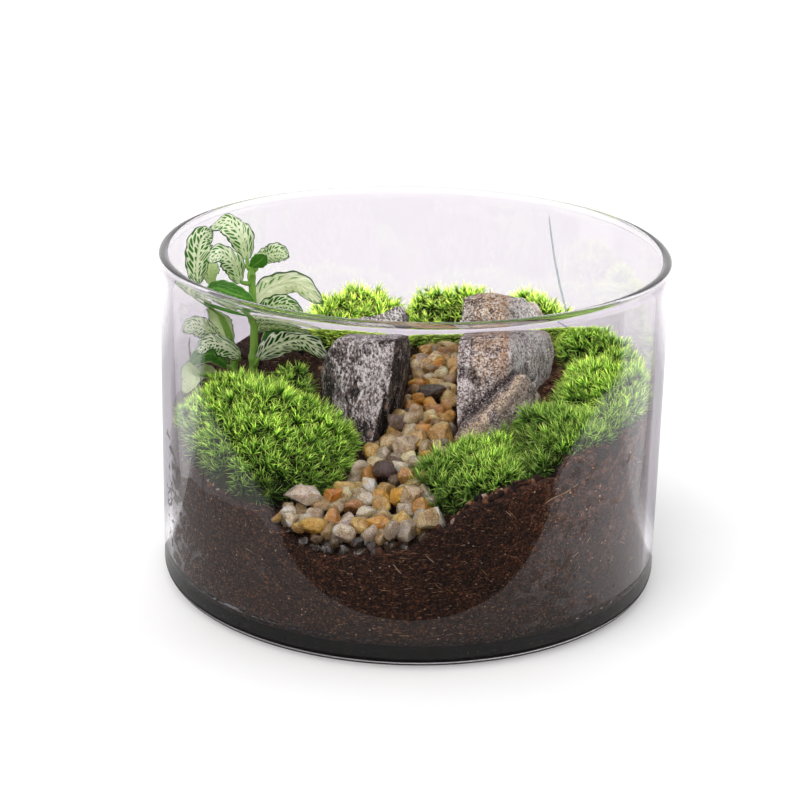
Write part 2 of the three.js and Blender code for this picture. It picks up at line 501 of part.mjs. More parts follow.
for (const [name, x, y, a, b, c, turn, lift, color] of PEBBLES) {
  const points = [];
  const golden = Math.PI * (3 - Math.sqrt(5));
  const n = 16;
  for (let i = 0; i < n; i++) {
    const z = 1 - (2 * (i + 0.5)) / n;
    const r = Math.sqrt(1 - z * z);
    const k = 0.86 + 0.2 * random();
    points.push(new THREE.Vector3(a * k * r * Math.cos(i * golden), b * k * r * Math.sin(i * golden), c * k * z));
  }
  const g = new ConvexGeometry(points);
  g.rotateX(0.5 * (random() - 0.5));
  g.rotateY(0.5 * (random() - 0.5));
  g.rotateZ(turn);
  g.translate(x, y, soilZ(x, y) + BED_THICKNESS + lift);
  let s = solid(g);
  s = s.intersect(inside);
  for (const stone of [darkStone, brownStone, flake]) s = s.subtract(grown(stone, GAP));
  pebbles.push([name, s, color]);
  bed = bed.subtract(grown(s, GAP));
}
add("gravel_bed", geometryOf(bed), COLOUR.gravel, 0.6);
for (const [name, s, color] of pebbles) add(name, geometryOf(s), color, 0.35);

// ---------------------------------------------------------------- moss cushions
// Each: outline seen from above, thickness of the cushion over the soil.
const MOSS = [
  ["moss_front_left", [[-15.5, -20], [-18.5, -33], [-23, -42.5], [-30, -44.5], [-36, -46], [-40.5, -56], [-45, -54.5], [-56, -43], [-64, -29], [-69, -16], [-65.5, -8], [-61, 1], [-55, 4.5], [-48, 5], [-40, -1], [-31, -6], [-23, -8], [-17.5, -13]], 10, COLOUR.moss],
  ["moss_tuft_left", [[-45, 7.5], [-38, 3.5], [-31, 1.5], [-29, 8], [-33, 13], [-41, 14]], 8, COLOUR.moss],
  ["moss_back_left", [[-33.5, 45], [-28, 37], [-18, 36], [-8, 43], [-2.5, 50], [-2.5, 62], [-10, 69.5], [-23, 67], [-33, 60], [-35.5, 52]], 11.5, COLOUR.mossDark],
  ["moss_back_middle", [[-1.8, 54], [3, 53.5], [14, 53.5], [21, 50], [28, 54], [28, 64.5], [14, 69.5], [-1.8, 71]], 10.5, COLOUR.mossDark],
  ["moss_back_right", [[28.8, 51], [36, 43], [45, 40], [54, 44.5], [50, 50.5], [40, 58.8], [28.5, 64.8]], 10, COLOUR.mossDark],
  ["moss_right_back", [[47, 39], [46.5, 28], [49.5, 18.6], [59, 15], [69, 17], [63, 31], [56, 42.5], [51, 41.5]], 7, COLOUR.moss],
  ["moss_right", [[49.5, 17.6], [46.5, 9], [43.5, 0], [41, -9], [46, -16], [52.5, -24], [58.5, -32.5], [64.5, -30], [70, -14], [71, 5], [69.5, 15.8], [60, 14.2]], 8, COLOUR.moss],
  ["moss_front_right", [[31, -57.5], [40, -54.8], [49, -51], [56, -45.5], [61.5, -37], [57.5, -32.6], [51.5, -24.5], [45, -16.5], [40.2, -9.6], [36, -9.5], [30, -17.5], [31, -28], [32, -38], [31.5, -48]], 8, COLOUR.moss],
  ["moss_front_middle", [[-1, -36], [1, -43], [6, -53], [14, -57.5], [21, -58.5], [30.2, -56.8], [31, -48], [31.5, -38], [30.5, -28], [29.2, -17.6], [22, -20], [15, -22.5], [9, -24], [3, -28]], 8, COLOUR.moss],
];
const done = [];
for (const [name, outline, thick, color] of MOSS) {
  let m = mound(
    outline,
    (x, y, t) => soilZ(x, y) + thick * (0.12 + 0.88 * Math.pow(Math.max(0, 1 - t ** 3), 0.55)),
    [0.35, 0.65, 0.88, 1],
  );
  m = m.subtract(soilRaised);
  for (const s of [darkStone, brownStone, flake]) m = m.subtract(grown(s, GAP));
  for (const s of done) m = m.subtract(grown(s, 0.3));
  for (const s of sockets) m = m.subtract(s);
  m = m.intersect(inside);
  for (const d of [[0, 0, 0], [0.3, 0, 0], [-0.3, 0, 0], [0, 0.3, 0], [0, -0.3, 0], [0, 0, 0.3]])
    m = m.subtract(bed.translate(d));
  for (const [, s] of pebbles) m = m.subtract(grown(s, GAP));
  const g = geometryOf(m);
  done.push(solid(g));
  add(name, g, color, 0.95);
}

add("soil", geometryOf(soil), COLOUR.soil, 0.98);
add("stone_dark", geometryOf(darkStone), COLOUR.slate, 0.8);
add("stone_brown", geometryOf(brownStone), COLOUR.brownStone, 0.8);
add("stone_flake", geometryOf(flake), COLOUR.paleStone, 0.8);

export default group;
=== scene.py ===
import math
import random

import bmesh
import bpy
import numpy as np
from mathutils import Matrix, Vector, noise


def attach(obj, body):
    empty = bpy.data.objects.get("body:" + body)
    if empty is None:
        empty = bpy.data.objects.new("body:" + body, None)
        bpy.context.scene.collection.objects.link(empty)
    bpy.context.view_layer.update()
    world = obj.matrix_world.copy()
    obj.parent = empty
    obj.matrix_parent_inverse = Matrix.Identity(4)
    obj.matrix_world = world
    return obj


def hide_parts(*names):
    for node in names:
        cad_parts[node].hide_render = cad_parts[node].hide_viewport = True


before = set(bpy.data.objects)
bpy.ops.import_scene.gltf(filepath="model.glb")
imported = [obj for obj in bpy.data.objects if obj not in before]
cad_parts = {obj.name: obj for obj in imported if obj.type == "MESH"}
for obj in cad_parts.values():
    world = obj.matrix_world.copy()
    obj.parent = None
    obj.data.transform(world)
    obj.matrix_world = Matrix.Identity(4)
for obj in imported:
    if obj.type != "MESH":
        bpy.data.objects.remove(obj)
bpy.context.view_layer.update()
MM = 0.001
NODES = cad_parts

# ------------------------------------------------------------------ sizes, in millimetres
BOWL_HEIGHT = 101.0
BOWL_OUTER_R = 74.8
WALL = 2.4
BEAD_R = 1.45
FLOOR = 6.0
FOOT_R = 5.0
INNER_CORNER_R = 4.0
INNER_R = BOWL_OUTER_R - WALL
BED_THICKNESS = 4.6

SOIL_POINTS = np.array([
    [-72.2, 0, 53], [-70.5, -16, 51], [-63.4, -35, 42.6], [-55, -47.1, 41.5], [-44.3, -57.3, 41.4],
    [-34.1, -63.8, 37], [-29.9, -66, 32.6], [-21.4, -69.2, 32.1], [-13.2, -71.2, 33.3],
    [-2.3, -72.4, 35.5], [8.5, -71.9, 41.5], [19.2, -69.8, 48.3], [30.1, -65.9, 50.8],
    [37, -62.3, 53], [46.8, -55.3, 57.9], [52.6, -49.8, 59], [60.2, -40.2, 60], [67.1, -27.2, 60],
    [72, -8, 60], [72, 10, 61],
    [-20, -60, 31.5], [-8, -62, 32.5], [-28, -56, 33], [-12, -45, 35], [-6, -30, 38.5],
    [0, -14, 41], [3, 2, 43.5], [5, 20, 46], [7, 38, 48.5], [8, 50, 50],
    [-24, -46, 35.5], [-34, -48, 38], [5, -63, 36],
    [-60, -18, 50], [-46, -30, 49], [-34, -38, 43], [-24, -28, 43], [-42, -12, 52],
    [-56, 0, 53], [-30, -10, 49], [-22, -15, 45], [-50, 17, 53], [-60, 12, 53], [-40, 14, 52],
    [-18, 5, 46], [-12, -12, 42.5], [-27, 6, 50], [-26, 25, 52], [-14, 40, 54], [-25, 50, 57],
    [-45, 40, 56], [-60, 30, 55],
    [20, -12, 45.5], [34, -2, 50], [45, 14, 55], [26, 20, 52], [30, 36, 57], [60, 0, 58],
    [62, -25, 57.5], [50, -40, 54], [34, -52, 48], [22, -48, 44], [10, -46, 39.5], [20, -30, 44],
    [40, -22, 52], [8, -30, 41.5],
    [20, 60, 60], [40, 55, 61], [55, 40, 61], [0, 66, 59], [-20, 66, 59], [-45, 52, 58], [65, 20, 61],
], float)


def soil_z(x, y):
    x = np.asarray(x, float)
    y = np.asarray(y, float)
    top = np.zeros(np.broadcast(x, y).shape)
    total = np.zeros_like(top)
    for px, py, pz in SOIL_POINTS:
        d2 = (x - px) ** 2 + (y - py) ** 2 + 9
        w = 1 / (d2 * d2)
        top = top + w * pz
        total = total + w
    return top / total


# ------------------------------------------------------------------ mesh helpers
def make_mesh(name, verts, faces, smooth=True, colour=None, uv=None, materials=()):
    """verts (n,3) in mm; faces: list of (m,k) integer arrays."""
    if isinstance(faces, np.ndarray):
        faces = [faces]
    faces = [np.asarray(f, np.int64) for f in faces if len(f)]
    me = bpy.data.meshes.new(name)
    verts = np.asarray(verts, np.float64) * MM
    me.vertices.add(len(verts))
    me.vertices.foreach_set("co", verts.astype(np.float32).ravel())
    loops = np.concatenate([f.ravel() for f in faces])
    sizes = np.concatenate([np.full(len(f), f.shape[1]) for f in faces])
    starts = np.concatenate([[0], np.cumsum(sizes)[:-1]])
    me.loops.add(len(loops))
    me.loops.foreach_set("vertex_index", loops.astype(np.int32))
    me.polygons.add(len(sizes))
    me.polygons.foreach_set("loop_start", starts.astype(np.int32))
    me.polygons.foreach_set("use_smooth", np.full(len(sizes), bool(smooth)))
    me.update(calc_edges=True)
    me.validate()
    if colour is not None:
        colour = np.asarray(colour, float)
        if colour.shape[1] == 3:
            colour = np.c_[colour, np.ones(len(colour))]
        layer = me.color_attributes.new(name="Col", type="FLOAT_COLOR", domain="POINT")
        layer.data.foreach_set("color", colour.astype(np.float32).ravel())
    if uv is not None:
        layer = me.uv_layers.new(name="Plan")
        layer.data.foreach_set("uv", np.asarray(uv, np.float32)[loops].ravel())
    for m in materials:
        me.materials.append(m)
    ob = bpy.data.objects.new(name, me)
    bpy.context.scene.collection.objects.link(ob)
    return ob


def place(ob, slot, *replaces):
    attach(ob, "root")
    if replaces:
        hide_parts(*replaces)
    return ob


def grid_faces(rows, cols, wrap=False, base=0, flip=False):
    r = np.arange(rows - 1)[:, None]
    c = np.arange(cols if wrap else cols - 1)[None, :]
    c2 = (c + 1) % cols
    a = base + r * cols + c
    b = base + r * cols + c2
    d = base + (r + 1) * cols + c
    e = base + (r + 1) * cols + c2
    q = np.stack([a, b, e, d], -1).reshape(-1, 4)
    return q[:, ::-1] if flip else q


def norm(v):
    v = np.asarray(v, float)
    return v / np.maximum(np.linalg.norm(v, axis=-1, keepdims=True), 1e-12)


def fbm(p, octaves=4, gain=0.5, lacunarity=2.0):
    """Fractal noise for each row of p, about -1 to 1."""
    out = np.zeros(len(p))
    amp = 1.0
    q = np.array(p, float)
    for _ in range(octaves):
        out += amp * np.array([noise.noise(Vector(v)) for v in q])
        amp *= gain
        q = q * lacunarity + 17.3
    return out


# ------------------------------------------------------------------ node helpers
def new_material(name):
    m = bpy.data.materials.new(name)
    m.use_nodes = True
    nt = m.node_tree
    nt.nodes.clear()
    out = nt.nodes.new("ShaderNodeOutputMaterial")
    return m, nt, out


class Net:
    """A short way to write node trees."""

    def __init__(self, nt):
        self.nt = nt

    def node(self, kind, **props):
        n = self.nt.nodes.new(kind)
        for k, v in props.items():
            setattr(n, k, v)
        return n

    def link(self, a, b):
        self.nt.links.new(a, b)

    def put(self, socket, value):
        if isinstance(value, bpy.types.NodeSocket):
            self.link(value, socket)
        else:
            socket.default_value = value

    def coords(self, scale=1000.0, kind="Object"):
        t = self.node("ShaderNodeTexCoord")
        m = self.node("ShaderNodeMapping")
        m.inputs["Scale"].default_value = (scale,) * 3 if not isinstance(scale, tuple) else scale
        self.link(t.outputs[kind], m.inputs["Vector"])
        return m.outputs["Vector"]

    def noise(self, vector, scale, detail=4.0, rough=0.55, distortion=0.0, out="Fac"):
        n = self.node("ShaderNodeTexNoise")
        self.link(vector, n.inputs["Vector"])
        n.inputs["Scale"].default_value = scale
        n.inputs["Detail"].default_value = detail
        n.inputs["Roughness"].default_value = rough
        n.inputs["Distortion"].default_value = distortion
        return n.outputs[out]

    def voronoi(self, vector, scale, feature="F1", out="Distance", randomness=1.0, dims="3D"):
        n = self.node("ShaderNodeTexVoronoi", feature=feature, voronoi_dimensions=dims)
        self.link(vector, n.inputs["Vector"])
        n.inputs["Scale"].default_value = scale
        n.inputs["Randomness"].default_value = randomness
        return n.outputs[out]

    def math(self, op, a, b=0.0, c=None, clamp=False):
        n = self.node("ShaderNodeMath", operation=op, use_clamp=clamp)
        self.put(n.inputs[0], a)
        self.put(n.inputs[1], b)
        if c is not None:
            self.put(n.inputs[2], c)
        return n.outputs[0]

    def ramp(self, fac, stops, mode="LINEAR"):
        n = self.node("ShaderNodeValToRGB")
        n.color_ramp.interpolation = mode
        e = n.color_ramp.elements
        while len(e) < len(stops):
            e.new(0.5)
        for el, (pos, col) in zip(e, stops):
            el.position = pos
            el.color = (*col, 1) if len(col) == 3 else col
        self.link(fac, n.inputs["Fac"])
        return n.outputs["Color"]

    def range(self, v, a, b, c=0.0, d=1.0, smooth=False):
        n = self.node("ShaderNodeMapRange", clamp=True)
        if smooth:
            n.interpolation_type = "SMOOTHSTEP"
        self.put(n.inputs["Value"], v)
        n.inputs["From Min"].default_value = a
        n.inputs["From Max"].default_value = b
        n.inputs["To Min"].default_value = c
        n.inputs["To Max"].default_value = d
        return n.outputs["Result"]

    def mix(self, fac, a, b, blend="MIX"):
        n = self.node("ShaderNodeMix", data_type="RGBA", blend_type=blend)
        self.put(n.inputs[0], fac)
        for s, v in ((n.inputs[6], a), (n.inputs[7], b)):
            if isinstance(v, tuple) and len(v) == 3:
                v = (*v, 1)
            self.put(s, v)
        return n.outputs[2]

    def bump(self, height, strength=0.5, distance=0.0005, normal=None):
        n = self.node("ShaderNodeBump")
        n.inputs["Strength"].default_value = strength
        n.inputs["Distance"].default_value = distance
        self.put(n.inputs["Height"], height)
        if normal is not None:
            self.link(normal, n.inputs["Normal"])
        return n.outputs["Normal"]

    def attribute(self, name, out="Color"):
        n = self.node("ShaderNodeAttribute", attribute_type="GEOMETRY", attribute_name=name)
        return n.outputs[out]

    def split(self, colour):
        n = self.node("ShaderNodeSeparateColor")
        self.link(colour, n.inputs[0])
        return n.outputs

    def xyz(self, vector):
        n = self.node("ShaderNodeSeparateXYZ")
        self.link(vector, n.inputs[0])
        return n.outputs

    def combine(self, x, y, z=0.0):
        n = self.node("ShaderNodeCombineXYZ")
        for s, v in zip(n.inputs, (x, y, z)):
            self.put(s, v)
        return n.outputs[0]

    def principled(self, out, **inputs):
        n = self.node("ShaderNodeBsdfPrincipled")
        for k, v in inputs.items():
            k = k.replace("_", " ")
            if isinstance(v, tuple) and len(v) == 3 and k in ("Base Color", "Specular Tint", "Sheen Tint", "Coat Tint", "Emission Color"):
                v = (*v, 1)
            self.put(n.inputs[k], v)
        self.link(n.outputs[0], out.inputs["Surface"])
        return n


def srgb(r, g, b):
    """A display colour, 0 to 255, as the linear one that shaders take."""
    return tuple(((v / 255 + 0.055) / 1.055) ** 2.4 if v > 10 else v / 255 / 12.92 for v in (r, g, b))


# ================================================================== MATERIALS
def glass_material(name, tint):
    m, nt, out = new_material(name)
    n = Net(nt)
    shader = n.node("ShaderNodeBsdfPrincipled")
    shader.inputs["Base Color"].default_value = (*tint, 1)
    shader.inputs["Roughness"].default_value = 0.0
    shader.inputs["IOR"].default_value = 1.47
    shader.inputs["Transmission Weight"].default_value = 1.0
    clear = n.node("ShaderNodeBsdfTransparent")
    clear.inputs["Color"].default_value = (0.965, 0.96, 0.967, 1)
    lp = n.node("ShaderNodeLightPath")
    mixer = n.node("ShaderNodeMixShader")
    n.link(lp.outputs["Is Shadow Ray"], mixer.inputs[0])
    n.link(shader.outputs[0], mixer.inputs[1])
    n.link(clear.outputs[0], mixer.inputs[2])
    n.link(mixer.outputs[0], out.inputs["Surface"])
    return m


def seam_material():
    m, nt, out = new_material("seam_in_glass")
    n = Net(nt)
    f = n.noise(n.coords(1000.0), 0.35, 3, 0.6)
    c = n.mix(f, srgb(196, 206, 216), srgb(226, 232, 238))
    s = n.principled(out, Base_Color=c, Roughness=0.2)
    s.inputs["Transmission Weight"].default_value = 0.7
    s.inputs["IOR"].default_value = 1.06
    return m


def soil_material():
    m, nt, out = new_material("potting_soil")
    n = Net(nt)
    v = n.coords(1000.0)
    grain = n.noise(v, 1.5, 7, 0.74)
    coarse = n.noise(v, 0.55, 5, 0.7)
    clump = n.noise(v, 0.14, 4, 0.6)
    fine = n.noise(v, 4.5, 3, 0.7)
    c = n.ramp(grain, [(0.32, srgb(8, 5, 3)), (0.44, srgb(30, 19, 13)), (0.54, srgb(56, 37, 25)), (0.64, srgb(98, 66, 44)), (0.76, srgb(158, 114, 80))])
    c = n.mix(1.0, c, n.ramp(coarse, [(0.34, (0.4, 0.38, 0.37)), (0.52, (1.0, 1.0, 1.0)), (0.7, (1.5, 1.42, 1.35))]), "MULTIPLY")
    c = n.mix(1.0, c, n.ramp(clump, [(0.32, (0.72, 0.7, 0.72)), (0.55, (1.0, 0.97, 0.94)), (0.75, (1.3, 1.12, 1.0))]), "MULTIPLY")
    # fibres and torn bark, seen as short light dashes in several directions
    for k, (rot, loc) in enumerate((((0.3, 0.2, 0.1), (3, 7, 1)), ((1.2, 0.5, 0.9), (13, 2, 8)), ((0.2, 1.3, 2.1), (5, 17, 4)))):
        vv = n.node("ShaderNodeMapping")
        vv.inputs["Scale"].default_value = (0.34, 2.6, 2.6)
        vv.inputs["Location"].default_value = loc
        vv.inputs["Rotation"].default_value = rot
        n.link(v, vv.inputs["Vector"])
        dash = n.range(n.noise(vv.outputs[0], 1.0, 2, 0.5, 0.25), 0.665, 0.71)
        c = n.mix(n.math("MULTIPLY", dash, 0.8), c, (srgb(150, 112, 82), srgb(112, 74, 50), srgb(168, 140, 114))[k])
    # pale grit and reddish crumbs
    cell = n.voronoi(v, 0.8, "F1")
    cellcol = n.split(n.voronoi(v, 0.8, "F1", "Color"))
    speck = n.math("MULTIPLY", n.range(cell, 0.24, 0.14), n.math("GREATER_THAN", cellcol[0], 0.9))
    c = n.mix(n.math("MULTIPLY", speck, 0.85), c, srgb(178, 156, 140))
    red = n.math("MULTIPLY", n.range(cell, 0.42, 0.24), n.math("GREATER_THAN", cellcol[1], 0.86))
    c = n.mix(n.math("MULTIPLY", red, 0.55), c, srgb(118, 68, 42))
    dark = n.math("MULTIPLY", n.range(cell, 0.5, 0.3), n.math("GREATER_THAN", cellcol[2], 0.8))
    c = n.mix(n.math("MULTIPLY", dark, 0.7), c, srgb(10, 7, 6))
    # dried streaks against the glass at the far left and right
    p = n.xyz(v)
    streak = n.node("ShaderNodeMapping")
    streak.inputs["Scale"].default_value = (1.7, 1.7, 0.95)
    streak.inputs["Rotation"].default_value = (0.35, 0.0, 0.0)
    n.link(v, streak.inputs["Vector"])
    dry = n.range(n.noise(streak.outputs[0], 1.1, 4, 0.7, 0.4), 0.53, 0.64)
    where = n.math("MAXIMUM", n.range(p[0], -54.0, -70.0), n.range(p[0], 60.0, 72.0, 0.0, 0.7))
    patch = n.range(n.noise(v, 0.08, 3, 0.55), 0.43, 0.57, 0.12, 1.0)
    c = n.mix(n.math("MULTIPLY", n.math("MULTIPLY", dry, where), n.math("MULTIPLY", patch, 0.7)), c, srgb(176, 168, 162))
    # the soil at the right, x 22 to 52 mm and z 16 to 46 mm, is painted paler, up to 3.9 times: partly dust, partly
    # painted light and a painted reflection; dark pockets and pale clumps lie in that patch
    dust_and_painted_light = n.math("MULTIPLY", n.range(p[0], 22.0, 52.0), n.range(p[2], 16.0, 46.0))
    c = n.mix(1.0, c, n.mix(dust_and_painted_light, (1.3, 1.22, 1.16), (3.9, 3.2, 2.6)), "MULTIPLY")
    pocket = n.noise(v, 0.19, 4, 0.62, 0.3)
    c = n.mix(n.math("MULTIPLY", dust_and_painted_light, n.range(pocket, 0.5, 0.42, 0.0, 0.85)), c, srgb(28, 20, 16))
    c = n.mix(n.math("MULTIPLY", dust_and_painted_light, n.math("MULTIPLY", n.range(pocket, 0.52, 0.6, 0.0, 0.75), n.range(coarse, 0.44, 0.56))), c, srgb(168, 132, 102))
    h = n.math("ADD", n.math("ADD", grain, n.math("MULTIPLY", fine, 0.3)), n.math("MULTIPLY", coarse, 0.8))
    nor = n.bump(h, 1.0, 0.0011)
    n.principled(out, Base_Color=c, Roughness=n.range(grain, 0.3, 0.7, 0.95, 0.65), Specular_IOR_Level=0.25, Normal=nor)
    return m


def dark_stone_material():
    """Col: r painted shade on the side facing right and on the left edge, and darker towards the foot; g the pale band,
    partly pale grain and partly a painted highlight; b the top, paler, partly painted light.
    """
    m, nt, out = new_material("dark_stone")
    n = Net(nt)
    v = n.coords(1000.0)
    zone = n.split(n.attribute("Col"))
    streak = n.node("ShaderNodeMapping")
    streak.inputs["Rotation"].default_value = (0.0, math.radians(-20), 0.2)
    streak.inputs["Scale"].default_value = (1.0, 1.0, 0.5)
    n.link(v, streak.inputs["Vector"])
    sv = streak.outputs[0]
    big = n.noise(sv, 0.16, 4, 0.6, 0.5)
    mid = n.noise(sv, 0.55, 4, 0.62, 0.4)
    fine = n.noise(sv, 1.75, 3, 0.66)
    grit = n.noise(v, 1.7, 2, 0.5)
    level = n.math("ADD", n.math("MULTIPLY", mid, 0.35), n.math("MULTIPLY", fine, 0.65))
    level = n.math("ADD", level, n.math("MULTIPLY", n.math("SUBTRACT", big, 0.5), 0.32))
    # g lightens the pale band, partly a painted highlight; r darkens, as painted shade
    level = n.math("ADD", level, n.math("MULTIPLY", zone[1], 0.055))
    level = n.math("SUBTRACT", level, n.math("MULTIPLY", zone[0], 0.07))
    # convex edges lighter, partly pale worn crystal and partly a painted highlight; hollows darker as painted shade
    edge_highlight_and_crease_shade = n.split(n.attribute("Edge"))
    level = n.math("ADD", level, n.math("MULTIPLY", edge_highlight_and_crease_shade[0], 0.07))
    level = n.math("SUBTRACT", level, n.math("MULTIPLY", edge_highlight_and_crease_shade[1], 0.06))
    c = n.ramp(level, [(0.4, srgb(22, 18, 16)), (0.455, srgb(70, 61, 57)), (0.515, srgb(128, 117, 113)), (0.575, srgb(206, 196, 192)), (0.63, srgb(255, 253, 251))])
    # the top is paler: partly pale grain, partly painted light from above
    c = n.mix(n.math("MULTIPLY", zone[2], 0.7), c, n.ramp(fine, [(0.38, srgb(50, 44, 42)), (0.48, srgb(124, 114, 112)), (0.6, srgb(250, 246, 244))]))
    # white flecks: partly pale crystal grains, partly painted glints
    flecks_and_glints = n.math("MULTIPLY", n.range(grit, 0.6, 0.66), n.range(level, 0.42, 0.5))
    c = n.mix(n.math("MULTIPLY", flecks_and_glints, 0.9), c, srgb(250, 247, 246))
    pit = n.voronoi(v, 0.55, "F1")
    c = n.mix(n.math("MULTIPLY", n.range(pit, 0.3, 0.08), 0.7), c, srgb(36, 28, 24))
    blot = n.voronoi(v, 0.42, "F1")
    pick = n.split(n.voronoi(v, 0.42, "F1", "Color"))
    rosy = n.math("MULTIPLY", n.math("GREATER_THAN", pick[0], 0.8), n.range(n.math("ADD", blot, n.math("MULTIPLY", n.math("SUBTRACT", fine, 0.5), 1.4)), 0.4, 0.26))
    c = n.mix(n.math("MULTIPLY", rosy, n.range(zone[0], 0.0, 0.35, 0.3, 0.9)), c, srgb(190, 160, 142))
    h = n.math("ADD", n.math("MULTIPLY", mid, 0.8), n.math("ADD", n.math("MULTIPLY", fine, 0.8), n.math("MULTIPLY", grit, 0.25)))
    n.principled(out, Base_Color=c, Roughness=n.range(fine, 0.4, 0.62, 0.7, 0.32), Specular_IOR_Level=0.6, Normal=n.bump(h, 1.0, 0.0014))
    return m


def brown_stone_material():
    """Col: r painted shade in the clefts, g the layered lobe, b rust."""
    m, nt, out = new_material("brown_stone")
    n = Net(nt)
    v = n.coords(1000.0)
    zone = n.split(n.attribute("Col"))
    big = n.noise(v, 0.1, 4, 0.6, 0.5)
    mid = n.noise(v, 0.55, 4, 0.62, 0.3)
    fine = n.noise(v, 1.75, 3, 0.66)
    grit = n.noise(v, 1.7, 2, 0.5)
    level = n.math("ADD", n.math("MULTIPLY", mid, 0.32), n.math("MULTIPLY", fine, 0.68))
    level = n.math("ADD", level, n.math("MULTIPLY", n.math("SUBTRACT", big, 0.5), 0.2))
    # convex edges lighter, partly pale worn crystal and partly a painted highlight; hollows darker as painted shade
    edge_highlight_and_crease_shade = n.split(n.attribute("Edge"))
    level = n.math("ADD", level, n.math("MULTIPLY", edge_highlight_and_crease_shade[0], 0.05))
    level = n.math("SUBTRACT", level, n.math("MULTIPLY", edge_highlight_and_crease_shade[1], 0.06))
    c = n.ramp(level, [(0.395, srgb(60, 50, 46)), (0.455, srgb(130, 116, 110)), (0.515, srgb(184, 171, 165)), (0.59, srgb(255, 252, 250))])
    p = n.xyz(v)
    # the lobe is layered slantwise, with dark, beige and grey bands
    s = n.math("MULTIPLY", n.math("SUBTRACT", p[0], p[2]), 0.7071)
    s = n.math("ADD", s, n.math("MULTIPLY", n.math("SUBTRACT", n.noise(v, 0.16, 4, 0.6), 0.5), 5.0))
    s = n.math("ADD", s, n.math("MULTIPLY", n.math("SUBTRACT", fine, 0.5), 4.0))
    band = n.ramp(n.range(s, -28.0, -10.0), [(0.0, srgb(104, 95, 91)), (0.12, srgb(66, 60, 57)), (0.22, srgb(112, 104, 100)), (0.3, srgb(184, 164, 140)), (0.38, srgb(204, 186, 164)), (0.46, srgb(120, 106, 96)), (0.56, srgb(176, 162, 150)), (0.68, srgb(130, 120, 114)), (0.8, srgb(184, 172, 164)), (1.0, srgb(120, 110, 106))])
    band = n.mix(1.0, band, n.ramp(level, [(0.4, (0.36, 0.35, 0.35)), (0.49, (1.1, 1.1, 1.1)), (0.58, (2.0, 1.98, 1.96))]), "MULTIPLY")
    c = n.mix(zone[1], c, band)
    # rusty granular skin on the front face, and a line of rust down its ridge
    rust = n.math("MULTIPLY", zone[2], n.range(n.noise(v, 0.2, 4, 0.65, 0.8), 0.36, 0.54))
    c = n.mix(n.math("MULTIPLY", rust, 0.85), c, n.ramp(level, [(0.395, srgb(70, 46, 30)), (0.455, srgb(140, 106, 74)), (0.515, srgb(194, 160, 122)), (0.59, srgb(255, 242, 222))]))
    line = n.math("MULTIPLY", n.range(n.math("ABSOLUTE", n.math("SUBTRACT", n.math("ADD", p[0], n.math("MULTIPLY", mid, 7.0)), 31.0)), 1.5, 0.2), n.range(p[2], 62, 66))
    c = n.mix(n.math("MULTIPLY", line, n.range(mid, 0.44, 0.56, 0.1, 0.8)), c, srgb(184, 132, 80))
    # the right-hand face is painted paler, partly its own grey and partly painted light, and has bluish grey streaks
    blue_map = n.node("ShaderNodeMapping")
    blue_map.inputs["Scale"].default_value = (1.4, 1.4, 0.16)
    n.link(v, blue_map.inputs["Vector"])
    b = n.noise(blue_map.outputs[0], 0.9, 4, 0.65)
    right = n.math("MULTIPLY", n.range(p[0], 29, 31), n.math("SUBTRACT", 1.0, zone[1]))
    c = n.mix(1.0, c, n.mix(right, (1.1, 1.08, 1.07), (1.35, 1.36, 1.38)), "MULTIPLY")
    c = n.mix(1.0, c, n.mix(n.range(p[2], 76.0, 82.0), (1.0, 1.0, 1.0), (0.56, 0.5, 0.45)), "MULTIPLY")
    c = n.mix(n.math("MULTIPLY", right, n.range(b, 0.52, 0.58, 0, 0.75)), c, srgb(230, 230, 234))
    c = n.mix(n.math("MULTIPLY", right, n.range(b, 0.45, 0.38, 0, 0.6)), c, srgb(104, 96, 93))
    # painted shade in the clefts, the hollow and the seam round the lobe
    c = n.mix(n.math("MULTIPLY", zone[0], 0.6), c, n.ramp(level, [(0.42, srgb(30, 26, 24)), (0.5, srgb(84, 77, 74)), (0.57, srgb(150, 142, 138))]))
    # white flecks: partly pale crystal grains, partly painted glints
    c = n.mix(n.math("MULTIPLY", n.range(grit, 0.61, 0.67), 0.85), c, srgb(252, 249, 248))
    pit = n.voronoi(v, 0.6, "F1")
    c = n.mix(n.math("MULTIPLY", n.range(pit, 0.26, 0.08), 0.6), c, srgb(52, 42, 36))
    h = n.math("ADD", n.math("MULTIPLY", mid, 0.7), n.math("ADD", n.math("MULTIPLY", fine, 0.8), n.math("MULTIPLY", grit, 0.25)))
    n.principled(out, Base_Color=c, Roughness=n.range(fine, 0.4, 0.62, 0.85, 0.42), Specular_IOR_Level=0.5, Normal=n.bump(h, 1.0, 0.0013))
    return m


def flake_material():
    m, nt, out = new_material("pale_flake")
    n = Net(nt)
    v = n.coords(1000.0)
    mid = n.noise(v, 0.5, 5, 0.7, 0.5)
    fine = n.noise(v, 2.2, 4, 0.75)
    c = n.ramp(mid, [(0.34, srgb(176, 150, 142)), (0.5, srgb(222, 202, 196)), (0.66, srgb(244, 234, 230))])
    c = n.mix(n.range(fine, 0.56, 0.68, 0, 0.5), c, srgb(150, 120, 108))
    n.principled(out, Base_Color=c, Roughness=0.55, Specular_IOR_Level=0.5, Normal=n.bump(n.math("ADD", mid, fine), 0.8, 0.0008))
    return m


